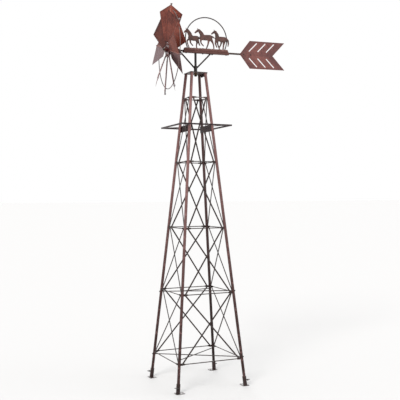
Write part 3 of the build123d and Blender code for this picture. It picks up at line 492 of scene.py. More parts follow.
def turned(bm, profile, place, axis, segments=24, cap=True, flat=None):
    """A body turned about an axis, from (distance along it, radius) pairs. flat makes it a hexagon."""
    side = axis.orthogonal().normalized()
    other = axis.cross(side).normalized()
    rings = []
    for along, radius in profile:
        ring = []
        for k in range(segments):
            angle = 2 * math.pi * k / segments
            wedge = (angle + math.pi / 6) % (math.pi / 3) - math.pi / 6
            reach = min(flat / math.cos(wedge), radius) if flat else radius
            around = side * math.cos(angle) + other * math.sin(angle)
            ring.append(bm.verts.new(place + axis * along + around * reach))
        rings.append(ring)
    for low, high in zip(rings, rings[1:]):
        for k in range(segments):
            after = (k + 1) % segments
            bm.faces.new((low[k], low[after], high[after], high[k]))
    if cap:
        bm.faces.new(rings[0])
        bm.faces.new(rings[-1])


def settled(drawn):
    """The mesh of an object once its curve or modifier is worked out. The object itself goes."""
    bpy.context.scene.collection.objects.link(drawn)
    mesh = bpy.data.meshes.new_from_object(drawn.evaluated_get(bpy.context.evaluated_depsgraph_get()))
    bpy.data.objects.remove(drawn)
    return mesh


print("helpers ready")

# %% [markdown]
# ### Blades
# Each blade is one kite of thin sheet. On the real wheel the sheet is pressed along its spoke, so a
# ridge runs up the middle, and its rim is folded over, so the hem is thicker. A flat plate
# from CAD can't show that. Here a fine grid is laid over the kite and pushed into shape: the fold,
# the ridge, the hem, and small dents from handling. The grid carries numbers for the finish too:
# where the hem gets painted shade and the crease a painted highlight, how much painted sheen each
# half has, and how much each half is painted lighter or darker. The hoop simply
# passes through the sheets here, since its narrow slot can't be seen.

# %% Measure the CAD blades
def blade_frame(node_name):
    """Outward, chord and backward directions of a blade, and its CAD points measured along them."""
    points = np.array([v.co[:] for v in nodes[node_name].data.vertices]) - np.array(WHEEL_CENTRE)
    across = points - np.outer(points @ np.array(TAILWARD), np.array(TAILWARD))
    outward = Vector(across[np.linalg.norm(across, axis=1).argmax()]).normalized()
    rough = points @ np.array(TAILWARD.cross(outward))
    chord = Vector(points[rough.argmax()] - points[rough.argmin()])
    chord = (chord - outward * chord.dot(outward)).normalized()
    backward = outward.cross(chord)
    if backward.dot(TAILWARD) < 0:
        chord, backward = -chord, -backward
    return outward, chord, backward, points @ np.array([chord, outward, backward]).T


_, _, _, flat_blade = blade_frame("blade_1")
BLADE_ROOT, BLADE_TIP = flat_blade[:, 1].min(), flat_blade[:, 1].max()
BLADE_HALF = np.abs(flat_blade[:, 0]).max()
BLADE_SHOULDER = flat_blade[np.abs(flat_blade[:, 0]).argmax(), 1]
at_root = flat_blade[flat_blade[:, 1] < BLADE_ROOT + 0.5 * MM]
ROOT_HALF = np.abs(at_root[:, 0]).max()
BLADE_FACE = flat_blade[np.abs(flat_blade[:, 0]) < 1 * MM, 2].min()
BLADE_DROP = flat_blade[:, 2].max() - BLADE_FACE - 1.2 * MM
print("blade", [round(float(x), 4) for x in (BLADE_ROOT, BLADE_SHOULDER, BLADE_TIP, BLADE_HALF)])

# %% Press the blades
HEM_WIDTH, HEM_RISE = 5 * MM, 0.6 * MM
RIDGE_WIDTH, RIDGE_RISE = 4 * MM, 1.3 * MM
SHEET = 0.9 * MM
DENT, DENT_FREE = 0.7 * MM, 30 * MM
COLUMNS, LOWER_ROWS, TIP_ROWS = 44, 42, 14
HAND_SET = {4: 3.6, 5: -2.0, 6: 2.0}    # degrees that a blade was bent by hand on its spoke
CREASE_HIGHLIGHT_SHARE = {8: 0.35}                 # a blade with a fainter painted highlight on its crease
SHEEN_EDGED_BLADES = (4, 5, 6)                # blades whose edges carry a pale painted sheen
# The painted sheen on the two halves of a blade, and how much lighter or darker each half is painted.
PAINTED_SHEEN = {3: (0.95, 0.2), 7: (0.0, 0.8), **{number: (0.4, 0.4) for number in SHEEN_EDGED_BLADES}}
PAINTED_SHADING = {1: (-0.15, 0.30), 2: (-0.50, -0.45), 7: (-0.15, 0.0), 8: (-0.10, 0.15)}


def smooth_bump(x, width):
    """1 in the middle, falling to 0 at the width, round at both ends."""
    t = min(1.0, abs(x) / width)
    return (1 - t * t) ** 2


def blade_half_width(v):
    """Half the kite's width at a distance from the wheel's middle."""
    if v < BLADE_SHOULDER:
        share = (v - BLADE_ROOT) / (BLADE_SHOULDER - BLADE_ROOT)
        return ROOT_HALF + (BLADE_HALF - ROOT_HALF) * share
    return BLADE_HALF * max(0.0, (BLADE_TIP - v) / (BLADE_TIP - BLADE_SHOULDER))


def edge_distance(u, v):
    """Distance from a point of the kite to its nearest edge."""
    corners = [(ROOT_HALF, BLADE_ROOT), (BLADE_HALF, BLADE_SHOULDER), (0.0, BLADE_TIP)]
    best = v - BLADE_ROOT
    for (u0, v0), (u1, v1) in zip(corners, corners[1:]):
        run = Vector((u1 - u0, v1 - v0)).normalized()
        best = min(best, abs((abs(u) - u0) * run.y - (v - v0) * run.x))
    return max(0.0, best)


def dents_at(u, v, phases):
    """Shallow hollows and swellings, in two sizes."""
    large = math.sin(31 * u + 19 * v + phases[0]) * math.sin(27 * v + phases[1])
    small = math.sin(62 * u - 45 * v + phases[2]) * math.sin(55 * u + phases[3])
    return large + 0.6 * small


def press_blade(number):
    """One blade as a closed, dented, hemmed sheet."""
    outward, chord, backward, _ = blade_frame(f"blade_{number}")
    bend = Matrix.Rotation(math.radians(HAND_SET.get(number, 0.0)), 3, outward)
    chord, backward = bend @ chord, bend @ backward
    sheen_low, sheen_high = PAINTED_SHEEN.get(number, (0.0, 0.0))
    shading_low, shading_high = PAINTED_SHADING.get(number, (0.0, 0.0))
    draw = random.Random(100 + number)
    phases = [draw.uniform(0, 6.28) for _ in range(6)]
    heights = [BLADE_ROOT + (BLADE_SHOULDER - BLADE_ROOT) * k / LOWER_ROWS for k in range(LOWER_ROWS)]
    heights += [BLADE_SHOULDER + (BLADE_TIP - BLADE_SHOULDER) * k / TIP_ROWS for k in range(TIP_ROWS)]
    heights.append(BLADE_TIP - 0.6 * MM)
    bm = bmesh.new()
    hem, crease, chalk, tone = (
        bm.verts.layers.float.new(key) for key in ("hem", "crease", "chalk", "tone")
    )
    shells = []
    for side in (0, 1):
        grid = []
        for v in heights:
            half, line = blade_half_width(v), []
            for column in range(COLUMNS + 1):
                share = 2 * column / COLUMNS - 1
                u = half * share
                near = edge_distance(u, v)
                folded = smooth_bump(near - HEM_WIDTH / 2, HEM_WIDTH / 2 + 1 * MM)
                ridge = smooth_bump(u, RIDGE_WIDTH) * min(1.0, near / (4 * HEM_WIDTH))
                dent = DENT * min(1.0, near / DENT_FREE) * dents_at(u, v, phases)
                middle = BLADE_FACE + BLADE_DROP * abs(u) / BLADE_HALF + dent * 0.5
                half_sheet = SHEET / 2 + HEM_RISE / 2 * folded
                front = middle + SHEET / 2 - half_sheet - RIDGE_RISE * ridge
                back = middle + SHEET / 2 + half_sheet - RIDGE_RISE * ridge * 0.9
                w = back if side else front
                vertex = bm.verts.new(WHEEL_CENTRE + chord * u + outward * v + backward * w)
                # painted shade along the hem
                vertex[hem] = max(0.0, 1 - near / (1.6 * HEM_WIDTH))
                # painted highlight along the crease
                vertex[crease] = ridge * CREASE_HIGHLIGHT_SHARE.get(number, 1.0)
                across = 0.5 + 0.5 * max(-1.0, min(1.0, u / (6 * MM)))
                # painted sheen on the front face of each half
                vertex[chalk] = (sheen_low + (sheen_high - sheen_low) * across) * (1 - side)
                # painted sheen on the edges of some blades
                if number in SHEEN_EDGED_BLADES and near < 0.5 * MM:
                    vertex[chalk] = 1.0
                # painted light and shade for each half
                vertex[tone] = shading_low + (shading_high - shading_low) * across
                line.append(vertex)
            grid.append(line)
        shells.append(grid)
    front, back = shells
    for i in range(len(heights) - 1):
        for j in range(COLUMNS):
            bm.faces.new((front[i][j], front[i][j + 1], front[i + 1][j + 1], front[i + 1][j]))
            bm.faces.new((back[i][j], back[i + 1][j], back[i + 1][j + 1], back[i][j + 1]))
        for j in (0, COLUMNS):
            bm.faces.new((front[i][j], front[i + 1][j], back[i + 1][j], back[i][j]))
    for i in (0, len(heights) - 1):
        for j in range(COLUMNS):
            bm.faces.new((front[i][j], front[i][j + 1], back[i][j + 1], back[i][j]))
    return mesh_from(bm, f"pressed_blade_{number}")


blade_pieces = []
for number in range(1, 9):
    blade = place_piece(
        press_blade(number), f"pressed_blade_{number}", "wheel", "rust_sheet", [f"blade_{number}"]
    )
    blade_pieces.append(blade)
print("blades", len(blade_pieces), "faces each", len(blade_pieces[0].data.polygons))

# %% [markdown]
# ### Tail vane
# The vane is one sheet cut like a fletched arrow, with three slots on each side. Its rim and the
# slots are rolled over in the press. A filled curve gives the sheet with its holes and a soft cut
# edge, and the same outline, drawn again as a thin rod, gives the rolled rim. Both come from the CAD
# sheet's own outline, found as the edges where its flat face ends.

# %% Outlines of a flat CAD plate
def face_loops(node_name, normal, tolerance=0.02):
    """The closed outlines of a plate's face that looks along a direction, longest first."""
    bm = bmesh.new()
    bm.from_mesh(nodes[node_name].data)
    bmesh.ops.remove_doubles(bm, verts=bm.verts, dist=2e-6)
    bm.normal_update()
    flat = {face for face in bm.faces if face.normal.dot(normal) > 1 - tolerance}
    follow = {}
    for face in flat:
        for loop in face.loops:
            others = [f for f in loop.edge.link_faces if f is not face]
            if not any(f in flat for f in others):
                follow[loop.vert.index] = (loop.link_loop_next.vert.index, loop.vert.co.copy())
    loops = []
    while follow:
        start = next(iter(follow))
        here, line = start, []
        while here in follow:
            after, point = follow.pop(here)
            line.append(point)
            here = after
        if len(line) > 2:
            loops.append(line)
    bm.free()
    return sorted(loops, key=lambda line: -loop_length(line))


def loop_length(line):
    """The length of a closed line."""
    return sum((b - a).length for a, b in zip(line, line[1:] + line[:1]))


def add_line(curve, points):
    """A closed spline with straight sides."""
    spline = curve.splines.new("POLY")
    spline.points.add(len(points) - 1)
    for point, co in zip(spline.points, points):
        point.co = (*co, 1.0)
    spline.use_cyclic_u = True


def round_rod(name, lines, radius):
    """A mesh rod that follows one or more closed lines."""
    curve = bpy.data.curves.new(name, "CURVE")
    curve.dimensions = "3D"
    curve.bevel_depth, curve.bevel_resolution, curve.use_fill_caps = radius, 3, True
    for line in lines:
        add_line(curve, line)
    return settled(bpy.data.objects.new(name, curve))


def cut_sheet(name, loops, plane, thick, softness):
    """A flat sheet with holes and softened edges. plane is (origin, right, up, out)."""
    origin, right, up, out = plane
    curve = bpy.data.curves.new(name, "CURVE")
    curve.dimensions, curve.fill_mode = "2D", "BOTH"
    curve.extrude, curve.bevel_depth, curve.bevel_resolution = thick / 2 - softness, softness, 2
    curve.offset = -softness
    for line in loops:
        add_line(curve, [((co - origin).dot(right), (co - origin).dot(up), 0.0) for co in line])
    mesh = settled(bpy.data.objects.new(name, curve))
    mesh.transform(Matrix.Translation(origin) @ Matrix((right, up, out)).transposed().to_4x4())
    return mesh


def outline_tree(lines, steps):
    """Points along closed lines, so that the distance to an outline is quickly found."""
    spots = [
        a.lerp(b, k / steps) for line in lines for a, b in zip(line, line[1:] + line[:1])
        for k in range(steps)
    ]
    tree = kdtree.KDTree(len(spots))
    for number, spot in enumerate(spots):
        tree.insert(spot, number)
    tree.balance()
    return tree


vane_loops = face_loops("tail_vane", -ASIDE)
print("vane outlines", len(vane_loops), "longest", round(loop_length(vane_loops[0]), 3), "m")

# %% Cut and roll the vane
VANE_THICK, VANE_SOFT, RIM_R, LIP_R = 2 * MM, 0.4 * MM, 1.9 * MM, 1.2 * MM
VANE_CHALK, VANE_SHADE_WIDTH = 0.35, 12 * MM


def inset(line, distance, out):
    """A closed flat line moved inwards by a distance."""
    moved = []
    for before, here, after in zip(line[-1:] + line[:-1], line, line[1:] + line[:1]):
        a = (here - before).normalized()
        b = (after - here).normalized()
        square = (a + b).normalized().cross(out)
        moved.append(here - square * distance / max(0.3, square.dot(a.cross(out))))
    return moved


vane_middle = sum(vane_loops[0], Vector()) / len(vane_loops[0])
vane_out = -ASIDE
to_mid_sheet = -vane_out * VANE_THICK / 2
sheet_plane = (vane_middle + to_mid_sheet, TAILWARD, UP, vane_out)
outer_line, *hole_lines = ([p + to_mid_sheet for p in line] for line in vane_loops)
slot_lines = [line for line in hole_lines if loop_length(line) > 50 * MM]
rim_line = min(
    (inset(outer_line, way * RIM_R * 0.6, vane_out) for way in (1, -1)), key=loop_length
)
vane_mesh = cut_sheet("vane_sheet", vane_loops, sheet_plane, VANE_THICK, VANE_SOFT)
# painted shade that darkens the sheet towards its rim
hem = vane_mesh.attributes.new("hem", "FLOAT", "POINT")
rim_tree = outline_tree(vane_loops[:1], 60)
hem.data.foreach_set(
    "value", [max(0.0, 1 - rim_tree.find(v.co)[2] / VANE_SHADE_WIDTH) for v in vane_mesh.vertices]
)
vane_mesh.attributes.new("chalk", "FLOAT", "POINT").data.foreach_set(
    "value", [VANE_CHALK] * len(vane_mesh.vertices)
)
vane_mesh.shade_smooth()
vane_mesh.set_sharp_from_angle(angle=SHARP_ANGLE)
place_piece(vane_mesh, "vane_sheet", "head", "rust_sheet", ["tail_vane"])
place_piece(round_rod("vane_rim", [rim_line], RIM_R), "vane_rim", "head", "rust_sheet")
place_piece(round_rod("vane_lips", slot_lines, LIP_R), "vane_lips", "head", "rust_sheet")
print("vane faces", len(vane_mesh.polygons), "slots", len(slot_lines))

# %% [markdown]
# ### Horses
# The three horses are cut from plate and embossed, so they swell in the middle of the body and thin
# out at the edges and legs. Sculpting them by hand would lose the CAD outline. Instead each CAD horse
# is turned into a fine even skin, and every point is pushed out by how far it lies from the outline,
# like a pillow. A mane and eyes are added as small bodies.

# %% Emboss the horses
SKIN = 1.5 * MM
SWELL, SWELL_WIDTH, EDGE_HALF, MUSCLE_RIPPLE = 3.1 * MM, 11 * MM, 1.4 * MM, 0.22 * MM


def even_skin(source, name, voxel):
    """A copy of a mesh as a fine, even, closed skin."""
    work = bpy.data.objects.new(name, source.data.copy())
    remesh = work.modifiers.new("skin", "REMESH")
    remesh.mode, remesh.voxel_size = "VOXEL", voxel
    return settled(work)


def emboss_horse(number):
    """One horse in relief, with the height stored for its finish."""
    node = nodes[f"horse_{number}"]
    lines = face_loops(node.name, -ASIDE)
    tree = outline_tree(lines, 12)
    low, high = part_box(node.name)
    front = max(p.dot(-ASIDE) for line in lines for p in line)
    half = front - (low + high).dot(-ASIDE) / 2
    middle = front - half
    mesh = even_skin(node, f"horse_relief_{number}", SKIN)
    relief = mesh.attributes.new("relief", "FLOAT", "POINT")
    heights = []
    for vertex in mesh.vertices:
        aside = vertex.co.dot(-ASIDE) - middle
        flat = vertex.co + (-ASIDE) * (half - aside)
        inside = tree.find(flat)[2]
        share = min(1.0, inside / SWELL_WIDTH)
        swell = EDGE_HALF + (SWELL - EDGE_HALF) * math.sqrt(1 - (1 - share) ** 2)
        wave = vertex.co.z * 160 + vertex.co.dot(TAILWARD) * 90
        swell += MUSCLE_RIPPLE * math.sin(wave) * share
        vertex.co += (-ASIDE) * (aside / half * swell - aside)
        heights.append(share * max(0.0, min(1.0, abs(aside) / half)))
    relief.data.foreach_set("value", heights)
    bm = bmesh.new()
    bm.from_mesh(mesh)
    for _ in range(2):
        bmesh.ops.smooth_vert(
            bm, verts=bm.verts, factor=0.4, use_axis_x=True, use_axis_y=True, use_axis_z=True
        )
    bm.to_mesh(mesh)
    bm.free()
    mesh.shade_smooth()
    return mesh, middle


print("horses swell from", round(EDGE_HALF / MM, 1), "to", round(SWELL / MM, 1), "mm off their middle")

# %% Manes and eyes
# Where each mane starts and ends: (towards the tail, above the boom) at the poll, then at the withers.
MANES = {1: (-59, 137, -36, 114), 2: (16, 141, 42, 119), 3: (131, 140, 151, 118)}


def lock_of_hair(bm, root, tip, width, thick, out):
    """A flat lock of the mane: a spike with a six-sided section that tapers to its tip."""
    along = (tip - root).normalized()
    side = along.cross(out).normalized()
    section = ((0.5, 0), (0.25, 0.43), (-0.25, 0.43), (-0.5, 0), (-0.25, -0.43), (0.25, -0.43))
    rings = []
    for share, scale in ((0.0, 0.55), (0.35, 1.0), (0.75, 0.6), (1.0, 0.08)):
        centre = root.lerp(tip, share) + side * width * 0.25 * math.sin(share * 3.0)
        rings.append([
            bm.verts.new(centre + side * width * scale * c + out * thick * scale * s)
            for c, s in section
        ])
    for low, high in zip(rings, rings[1:]):
        for k in range(6):
            bm.faces.new((low[k], low[(k + 1) % 6], high[(k + 1) % 6], high[k]))
    bm.faces.new(rings[0])
    bm.faces.new(rings[-1])


def horse_trim(number, middle):
    """The mane along the neck and an eye on both sides."""
    draw = random.Random(40 + number)
    poll_d, poll_h, neck_d, neck_h = MANES[number]
    shift = -middle
    bm = bmesh.new()
    for k in range(9):
        share = k / 8
        d = (poll_d + (neck_d - poll_d) * share + 5.5) * MM
        h = (poll_h + (neck_h - poll_h) * share + 2.0) * MM
        root = head_point(d - 4 * MM, h - 2 * MM, shift)
        tip = head_point(d + draw.uniform(6, 9) * MM, h + draw.uniform(-4, -1) * MM, shift)
        lock_of_hair(bm, root, tip, 5.5 * MM, 3.6 * MM, -ASIDE)
    for way in (1, -1):
        place = head_point((poll_d - 4.5) * MM, (poll_h - 4) * MM, shift - way * 1.9 * MM)
        bmesh.ops.create_icosphere(
            bm, subdivisions=2, radius=1.1 * MM, matrix=Matrix.Translation(place)
        )
    return mesh_from(bm, f"horse_mane_{number}")


for number in (1, 2, 3):
    relief_mesh, middle = emboss_horse(number)
    place_piece(relief_mesh, f"horse_relief_{number}", "head", "horse_bronze", [f"horse_{number}"])
    mane = horse_trim(number, middle)
    place_piece(mane, f"horse_mane_{number}", "head", "horse_bronze")
    print("horse", number, "faces", len(relief_mesh.polygons), "mane", len(mane.polygons))

# %% [markdown]
# ### Bolts, nuts and welds
# A CAD bolt is a plain head, shank and nut. A real one has a flanged head with its corners turned
# off, a domed top, and a thread that shows past the nut. Each solid of a bolt node is measured: its
# axis is the direction of its farthest flat end, and its wide parts are the head and the nut. Then
# it is turned again with that detail. The hub's bolts were painted over together with the hub. The
# tower's lugs also show their welds, so each one gets a rippled bead on both sides where it meets
# its leg.

# %% Measure bolts
def split_solids(node_name):
    """For each solid of a node: its middle, its main axis, and its points along and off that axis."""
    bm = bmesh.new()
    bm.from_mesh(nodes[node_name].data)
    bmesh.ops.remove_doubles(bm, verts=bm.verts, dist=2e-6)
    bm.normal_update()
    left, found = set(bm.faces), []
    while left:
        stack, group = [left.pop()], []
        while stack:
            face = stack.pop()
            group.append(face)
            for other in {f for edge in face.edges for f in edge.link_faces} & left:
                left.remove(other)
                stack.append(other)
        points = np.array([v.co[:] for v in {v for face in group for v in face.verts}])
        middle = Vector((points.min(0) + points.max(0)) / 2)
        end = max(group, key=lambda face: (face.calc_center_median() - middle).dot(face.normal))
        axis = end.normal.copy()
        along = (points - np.array(middle)) @ np.array(axis)
        middle += axis * (along.min() + along.max()) / 2
        along = (points - np.array(middle)) @ np.array(axis)
        off = np.linalg.norm(points - np.array(middle) - np.outer(along, np.array(axis)), axis=1)
        found.append((middle, axis, along, off))
    bm.free()
    return sorted(found, key=lambda row: tuple(round(x, 4) for x in row[0]))


def wide_spans(along, off):
    """Where a bolt is widest: the ends of its head and of its nut, lowest first."""
    wide = np.sort(along[off > 0.9 * off.max()])
    ends = [wide[0]]
    for here in wide[1:]:
        if here - ends[-1] > 0.5 * MM:
            ends.append(here)
    return [(float(ends[k]), float(ends[k + 1])) for k in range(0, len(ends) - 1, 2)]


def turn_bolt(bm, middle, axis, along, off):
    """One bolt with its flanged head, thread and, where it has one, its nut."""
    corner, shank = float(off.max()), float(off.min())
    flat = corner * math.cos(math.pi / 6)
    spans = wide_spans(along, off)
    thread_below, thread_above = spans[0][0] - along.min(), along.max() - spans[-1][1]
    thicknesses = [high - low for low, high in spans]
    thicker_above = len(spans) == 2 and thicknesses[0] < thicknesses[1] - 0.1 * MM
    if thread_below > thread_above or (thicker_above and thread_above < 0.2 * MM):
        axis, along = -axis, -along
        spans = [(-high, -low) for low, high in reversed(spans)]
    low, low_in = spans[0]
    tip, brim = float(along.max()), 0.8 * MM
    rim = flat * 1.18
    turned(bm, [(low_in - brim, rim * 0.95), (low_in - 0.3 * MM, rim), (low_in, rim)], middle, axis)
    turned(bm, [
        (low + 0.05 * MM, flat * 0.45), (low + 0.12 * MM, flat * 0.84), (low + 0.5 * MM, corner),
        (low_in - brim * 0.8, corner),
    ], middle, axis, flat=flat)
    here = low_in + 4 * MM
    if len(spans) == 2:
        high_in, high = spans[1]
        turned(bm, [(high_in, rim), (high_in + 0.5 * MM, rim)], middle, axis)
        turned(bm, [
            (high_in + 0.4 * MM, corner), (high - 0.5 * MM, corner), (high - 0.1 * MM, flat * 0.86),
            (high, flat * 0.6),
        ], middle, axis, flat=flat)
        here = high_in + 0.2 * MM
    thread, ridge = [(low_in, shank), (here - 0.1 * MM, shank)], 0.12 * MM
    while here < tip - 0.6 * MM:
        thread += [(here, shank - ridge), (here + 0.35 * MM, shank)]
        here += 0.7 * MM
    thread.append((tip, shank * 0.72))
    turned(bm, thread, middle, axis, 16)


BOLT_NODES = {"tower_bolts": "tower", "head_bolts": "head", "hub_bolts": "wheel", "vane_bolts": "head"}
lug_spots = []
for node_name, body in BOLT_NODES.items():
    bm = bmesh.new()
    solids = split_solids(node_name)
    for solid in solids:
        turn_bolt(bm, *solid)
    if node_name == "tower_bolts":
        lug_spots = [(middle, axis) for middle, axis, _, _ in solids]
    mesh = mesh_from(bm, node_name + "_turned")
    coat = finishes["hub_paint"] if node_name == "hub_bolts" else None
    place_piece(mesh, node_name + "_turned", body, "screw_dark", [node_name], coat)
    print(node_name, len(solids), "bolts,", len(mesh.polygons), "faces")

# %% Weld the lugs to their legs
BEAD_R, BEAD_HALF = 1.3 * MM, 6.6 * MM
LEG_R, LUG_HALF_THICK, LUG_REACH = 9.25 * MM, 1.5 * MM, 26 * MM


def bead(bm, start, end, radius, draw):
    """A rippled weld bead between two points."""
    run = end - start
    count = max(6, round(run.length / (1.1 * MM)))
    profile = [(0.0, radius * 0.35)]
    for k in range(1, count):
        ripple = 1.0 if k % 2 else 0.82
        profile.append((run.length * k / count, radius * ripple * draw.uniform(0.92, 1.08)))
    profile.append((run.length, radius * 0.35))
    turned(bm, profile, start, run.normalized(), 10)


def ring_bead(bm, centre, axis, ring_radius, radius, draw, segments=36):
    """A rippled bead that runs right round a tube."""
    side = axis.orthogonal().normalized()
    other = axis.cross(side).normalized()
    rings = []
    for k in range(segments):
        angle = 2 * math.pi * k / segments
        way = side * math.cos(angle) + other * math.sin(angle)
        thick = radius * (1.0 if k % 2 else 0.84) * draw.uniform(0.93, 1.07)
        rings.append([
            bm.verts.new(
                centre + way * (ring_radius + thick * math.cos(2 * math.pi * j / 8))
                + axis * thick * math.sin(2 * math.pi * j / 8)
            )
            for j in range(8)
        ])
    for k in range(segments):
        here, after = rings[k], rings[(k + 1) % segments]
        for j in range(8):
            bm.faces.new((here[j], here[(j + 1) % 8], after[(j + 1) % 8], after[j]))


def leg_axis(number):
    """A point on a leg's axis and its upward direction, from the two ends of the upper tube."""
    points = np.array([v.co[:] for v in nodes[f"leg_upper_{number}"].data.vertices])
    ends = []
    for end in (points[:, 2].min(), points[:, 2].max()):
        near = points[np.abs(points[:, 2] - end) < 12 * MM]
        ends.append(Vector((near.min(0) + near.max(0)) / 2))
    return ends[0], (ends[1] - ends[0]).normalized()


legs = {number: leg_axis(number) for number in range(1, 5)}
draw = random.Random(7)
bm = bmesh.new()
for middle, axis in lug_spots:
    origin, way = min(legs.values(), key=lambda leg: ((middle - leg[0]).cross(leg[1])).length)
    on_leg = origin + way * (middle - origin).dot(way)
    reach = middle - on_leg
    if reach.length > LUG_REACH:
        continue
    inward = (reach - axis * reach.dot(axis)).normalized()
    level = on_leg + inward * (LEG_R + 0.3 * MM)
    for side in (-1, 1):
        shift = axis * side * (LUG_HALF_THICK + 0.3 * MM)
        bead(bm, level + shift - way * BEAD_HALF, level + shift + way * BEAD_HALF, BEAD_R, draw)
welds = mesh_from(bm, "lug_welds")
place_piece(welds, "lug_welds", "tower", "leg_paint")
print("lug welds", len(welds.polygons), "faces")

# %% [markdown]
# ### Feet
# Each foot is a sleeve welded to a plate and pinched on its leg by a wing screw. The plate gets a
# weld all round the sleeve, the sleeve a rolled lip, and the screw a collar under its wings.

# %% Foot welds, lips and screw collars
FOOT_PLATE, SLEEVE_WELD_R, SLEEVE_LIP_R = 3 * MM, 12.9 * MM, 12.3 * MM
WING_REACH = 11.2 * MM                  # from a wing's outer face to the shoulder under it
bm, lips = bmesh.new(), bmesh.new()
for number in range(1, 5):
    low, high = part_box(f"foot_{number}")
    origin, way = legs[number]
    at_plate = origin + way * (low.z + FOOT_PLATE + 0.4 * MM - origin.z) / way.z
    at_lip = origin + way * (high.z - 1.5 * MM - origin.z) / way.z
    ring_bead(bm, at_plate, way, SLEEVE_WELD_R, 1.6 * MM, draw)
    ring_bead(lips, at_lip, way, SLEEVE_LIP_R, 1.1 * MM, draw, 48)
place_piece(mesh_from(bm, "foot_welds"), "foot_welds", "tower", "foot_paint")
place_piece(mesh_from(lips, "foot_lips"), "foot_lips", "tower", "foot_paint")

bm = bmesh.new()
for middle, axis, along, off in split_solids("foot_screws"):
    wing_end = along[off > 0.9 * off.max()]
    outward = axis if wing_end.mean() > 0 else -axis
    shoulder = max(abs(wing_end)) - WING_REACH
    turned(bm, [
        (-1.8 * MM, 3.2 * MM), (-1.5 * MM, 5.6 * MM), (-0.9 * MM, 6.2 * MM), (0.3 * MM, 6.2 * MM),
        (0.9 * MM, 5.6 * MM), (2.4 * MM, 5.3 * MM),
    ], middle + outward * shoulder, outward, 32)
collars = mesh_from(bm, "screw_collars")
place_piece(collars, "screw_collars", "tower", "screw_dark")
print("foot details", len(collars.polygons), "faces in the screw collars")

# %% [markdown]
# ### Saddle
# The two half shells of the saddle are pressed from sheet. Their long sides carry a groove, and the
# upper one has a rough, torn top that reads as ground under the horses' hooves. Each CAD shell is
# turned into a fine even skin, and its points are pushed by where they lie: noise on the top face,
# a groove along the sides.

# %% Rough ground and grooves
GROUND_RISE, GROOVE_DEPTH, GROOVE_WIDTH, GROUND_BAND = 2.4 * MM, 0.8 * MM, 2.2 * MM, 7 * MM
PARTING_H, PARTING_BAND, SADDLE_SIDE = 2 * MM, 4.5 * MM, 12.4 * MM
GROOVE_HEIGHTS = {"saddle_upper": 10 * MM, "saddle_lower": -5 * MM}
for node_name, groove_h in GROOVE_HEIGHTS.items():
    low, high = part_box(node_name)
    mesh = even_skin(nodes[node_name], node_name + "_pressed", 1.1 * MM)
    hem, ground = (mesh.attributes.new(key, "FLOAT", "POINT") for key in ("hem", "ground"))
    values, tops = [], []
    for vertex in mesh.vertices:
        from_shaft = vertex.co - SHAFT
        aside, h, d = from_shaft.dot(ASIDE), from_shaft.z, from_shaft.dot(TAILWARD)
        on_side = smooth_bump(h - groove_h, GROOVE_WIDTH)
        if abs(aside) > SADDLE_SIDE:
            vertex.co -= ASIDE * math.copysign(GROOVE_DEPTH * on_side, aside)
        if node_name == "saddle_upper" and vertex.co.z > high.z - GROUND_BAND:
            spot = Vector((d * 95, aside * 120, 0.3))
            rough = noise.noise(spot) * 0.65 + noise.noise(spot * 2.7) * 0.35
            share = min(1.0, (vertex.co.z - high.z + GROUND_BAND) / (0.6 * GROUND_BAND))
            vertex.co.z += GROUND_RISE * rough * share
            vertex.co += ASIDE * (noise.noise(spot * 1.7 + UP) * 0.8 * MM * share)
            tops.append(share * min(1.0, max(0.0, 0.6 + rough)))
        else:
            tops.append(0.0)
        # painted shade in the side grooves and along the parting line between the shells
        values.append(max(on_side * 0.6, smooth_bump(h - PARTING_H, PARTING_BAND)))
    hem.data.foreach_set("value", values)
    ground.data.foreach_set("value", tops)
    mesh.shade_smooth()
    place_piece(mesh, node_name + "_pressed", "head", "saddle_paint", [node_name])
    print(node_name, len(mesh.polygons), "faces")

# %% [markdown]
# ### Hub, spokes and collar
# The wheel's hub is two dished plates with a rolled rim, held by bolts with domed nuts, and a barrel
# with turned rings. Each spoke ends in a turned knob, and rivets hold each blade to its spoke. The
# collar under the struts is pinched by a set screw.

# %% Dish the hub plates
DISH_DEPTH, DISH_AT = 0.54 * MM, 0.52       # of the pressed ring, which lies at this share of the rim


def dished_plate(node_name, name):
    """A hub plate with a rolled rim and a ring pressed in it."""
    points = np.array([v.co[:] for v in nodes[node_name].data.vertices]) - np.array(SHAFT)
    along = points @ np.array(TAILWARD)
    outer = np.linalg.norm(points - np.outer(along, np.array(TAILWARD)), axis=1)
    inner, rim = outer.min(), outer.max()
    front, back = along.min(), along.max()
    thick = back - front
    profile = [(front, inner)]
    for k in range(41):
        radius = inner + (rim - inner) * k / 40
        profile.append((front + DISH_DEPTH * smooth_bump(radius - rim * DISH_AT, 5 * MM), radius))
    profile += [(front - 0.5 * MM, rim + 0.4 * MM), (front + thick / 2, rim + 1.1 * MM),
                (back + 0.5 * MM, rim + 0.4 * MM), (back, rim - 2 * MM), (back, inner), (front, inner)]
    bm = bmesh.new()
    turned(bm, profile, SHAFT.copy(), TAILWARD, 96, cap=False)
    bmesh.ops.remove_doubles(bm, verts=bm.verts, dist=1e-6)
    return mesh_from(bm, name)


for side in ("front", "rear"):
    plate = dished_plate(f"hub_plate_{side}", f"hub_dish_{side}")
    place_piece(plate, f"hub_dish_{side}", "wheel", "hub_paint", [f"hub_plate_{side}"])
    print("hub plate", side, "dished,", len(plate.polygons), "faces")

# %% Domed nuts, spoke knobs and rivets
def dome(bm, place, axis, radius, height, segments=24):
    """A domed cap that stands on a plane."""
    profile = [(0.0, radius), (height * 0.15, radius)]
    profile += [
        (height * (0.15 + 0.85 * math.sin(angle)), radius * math.cos(angle))
        for angle in (0.35, 0.7, 1.0, 1.25, 1.45)
    ]
    turned(bm, profile, place, axis, segments)


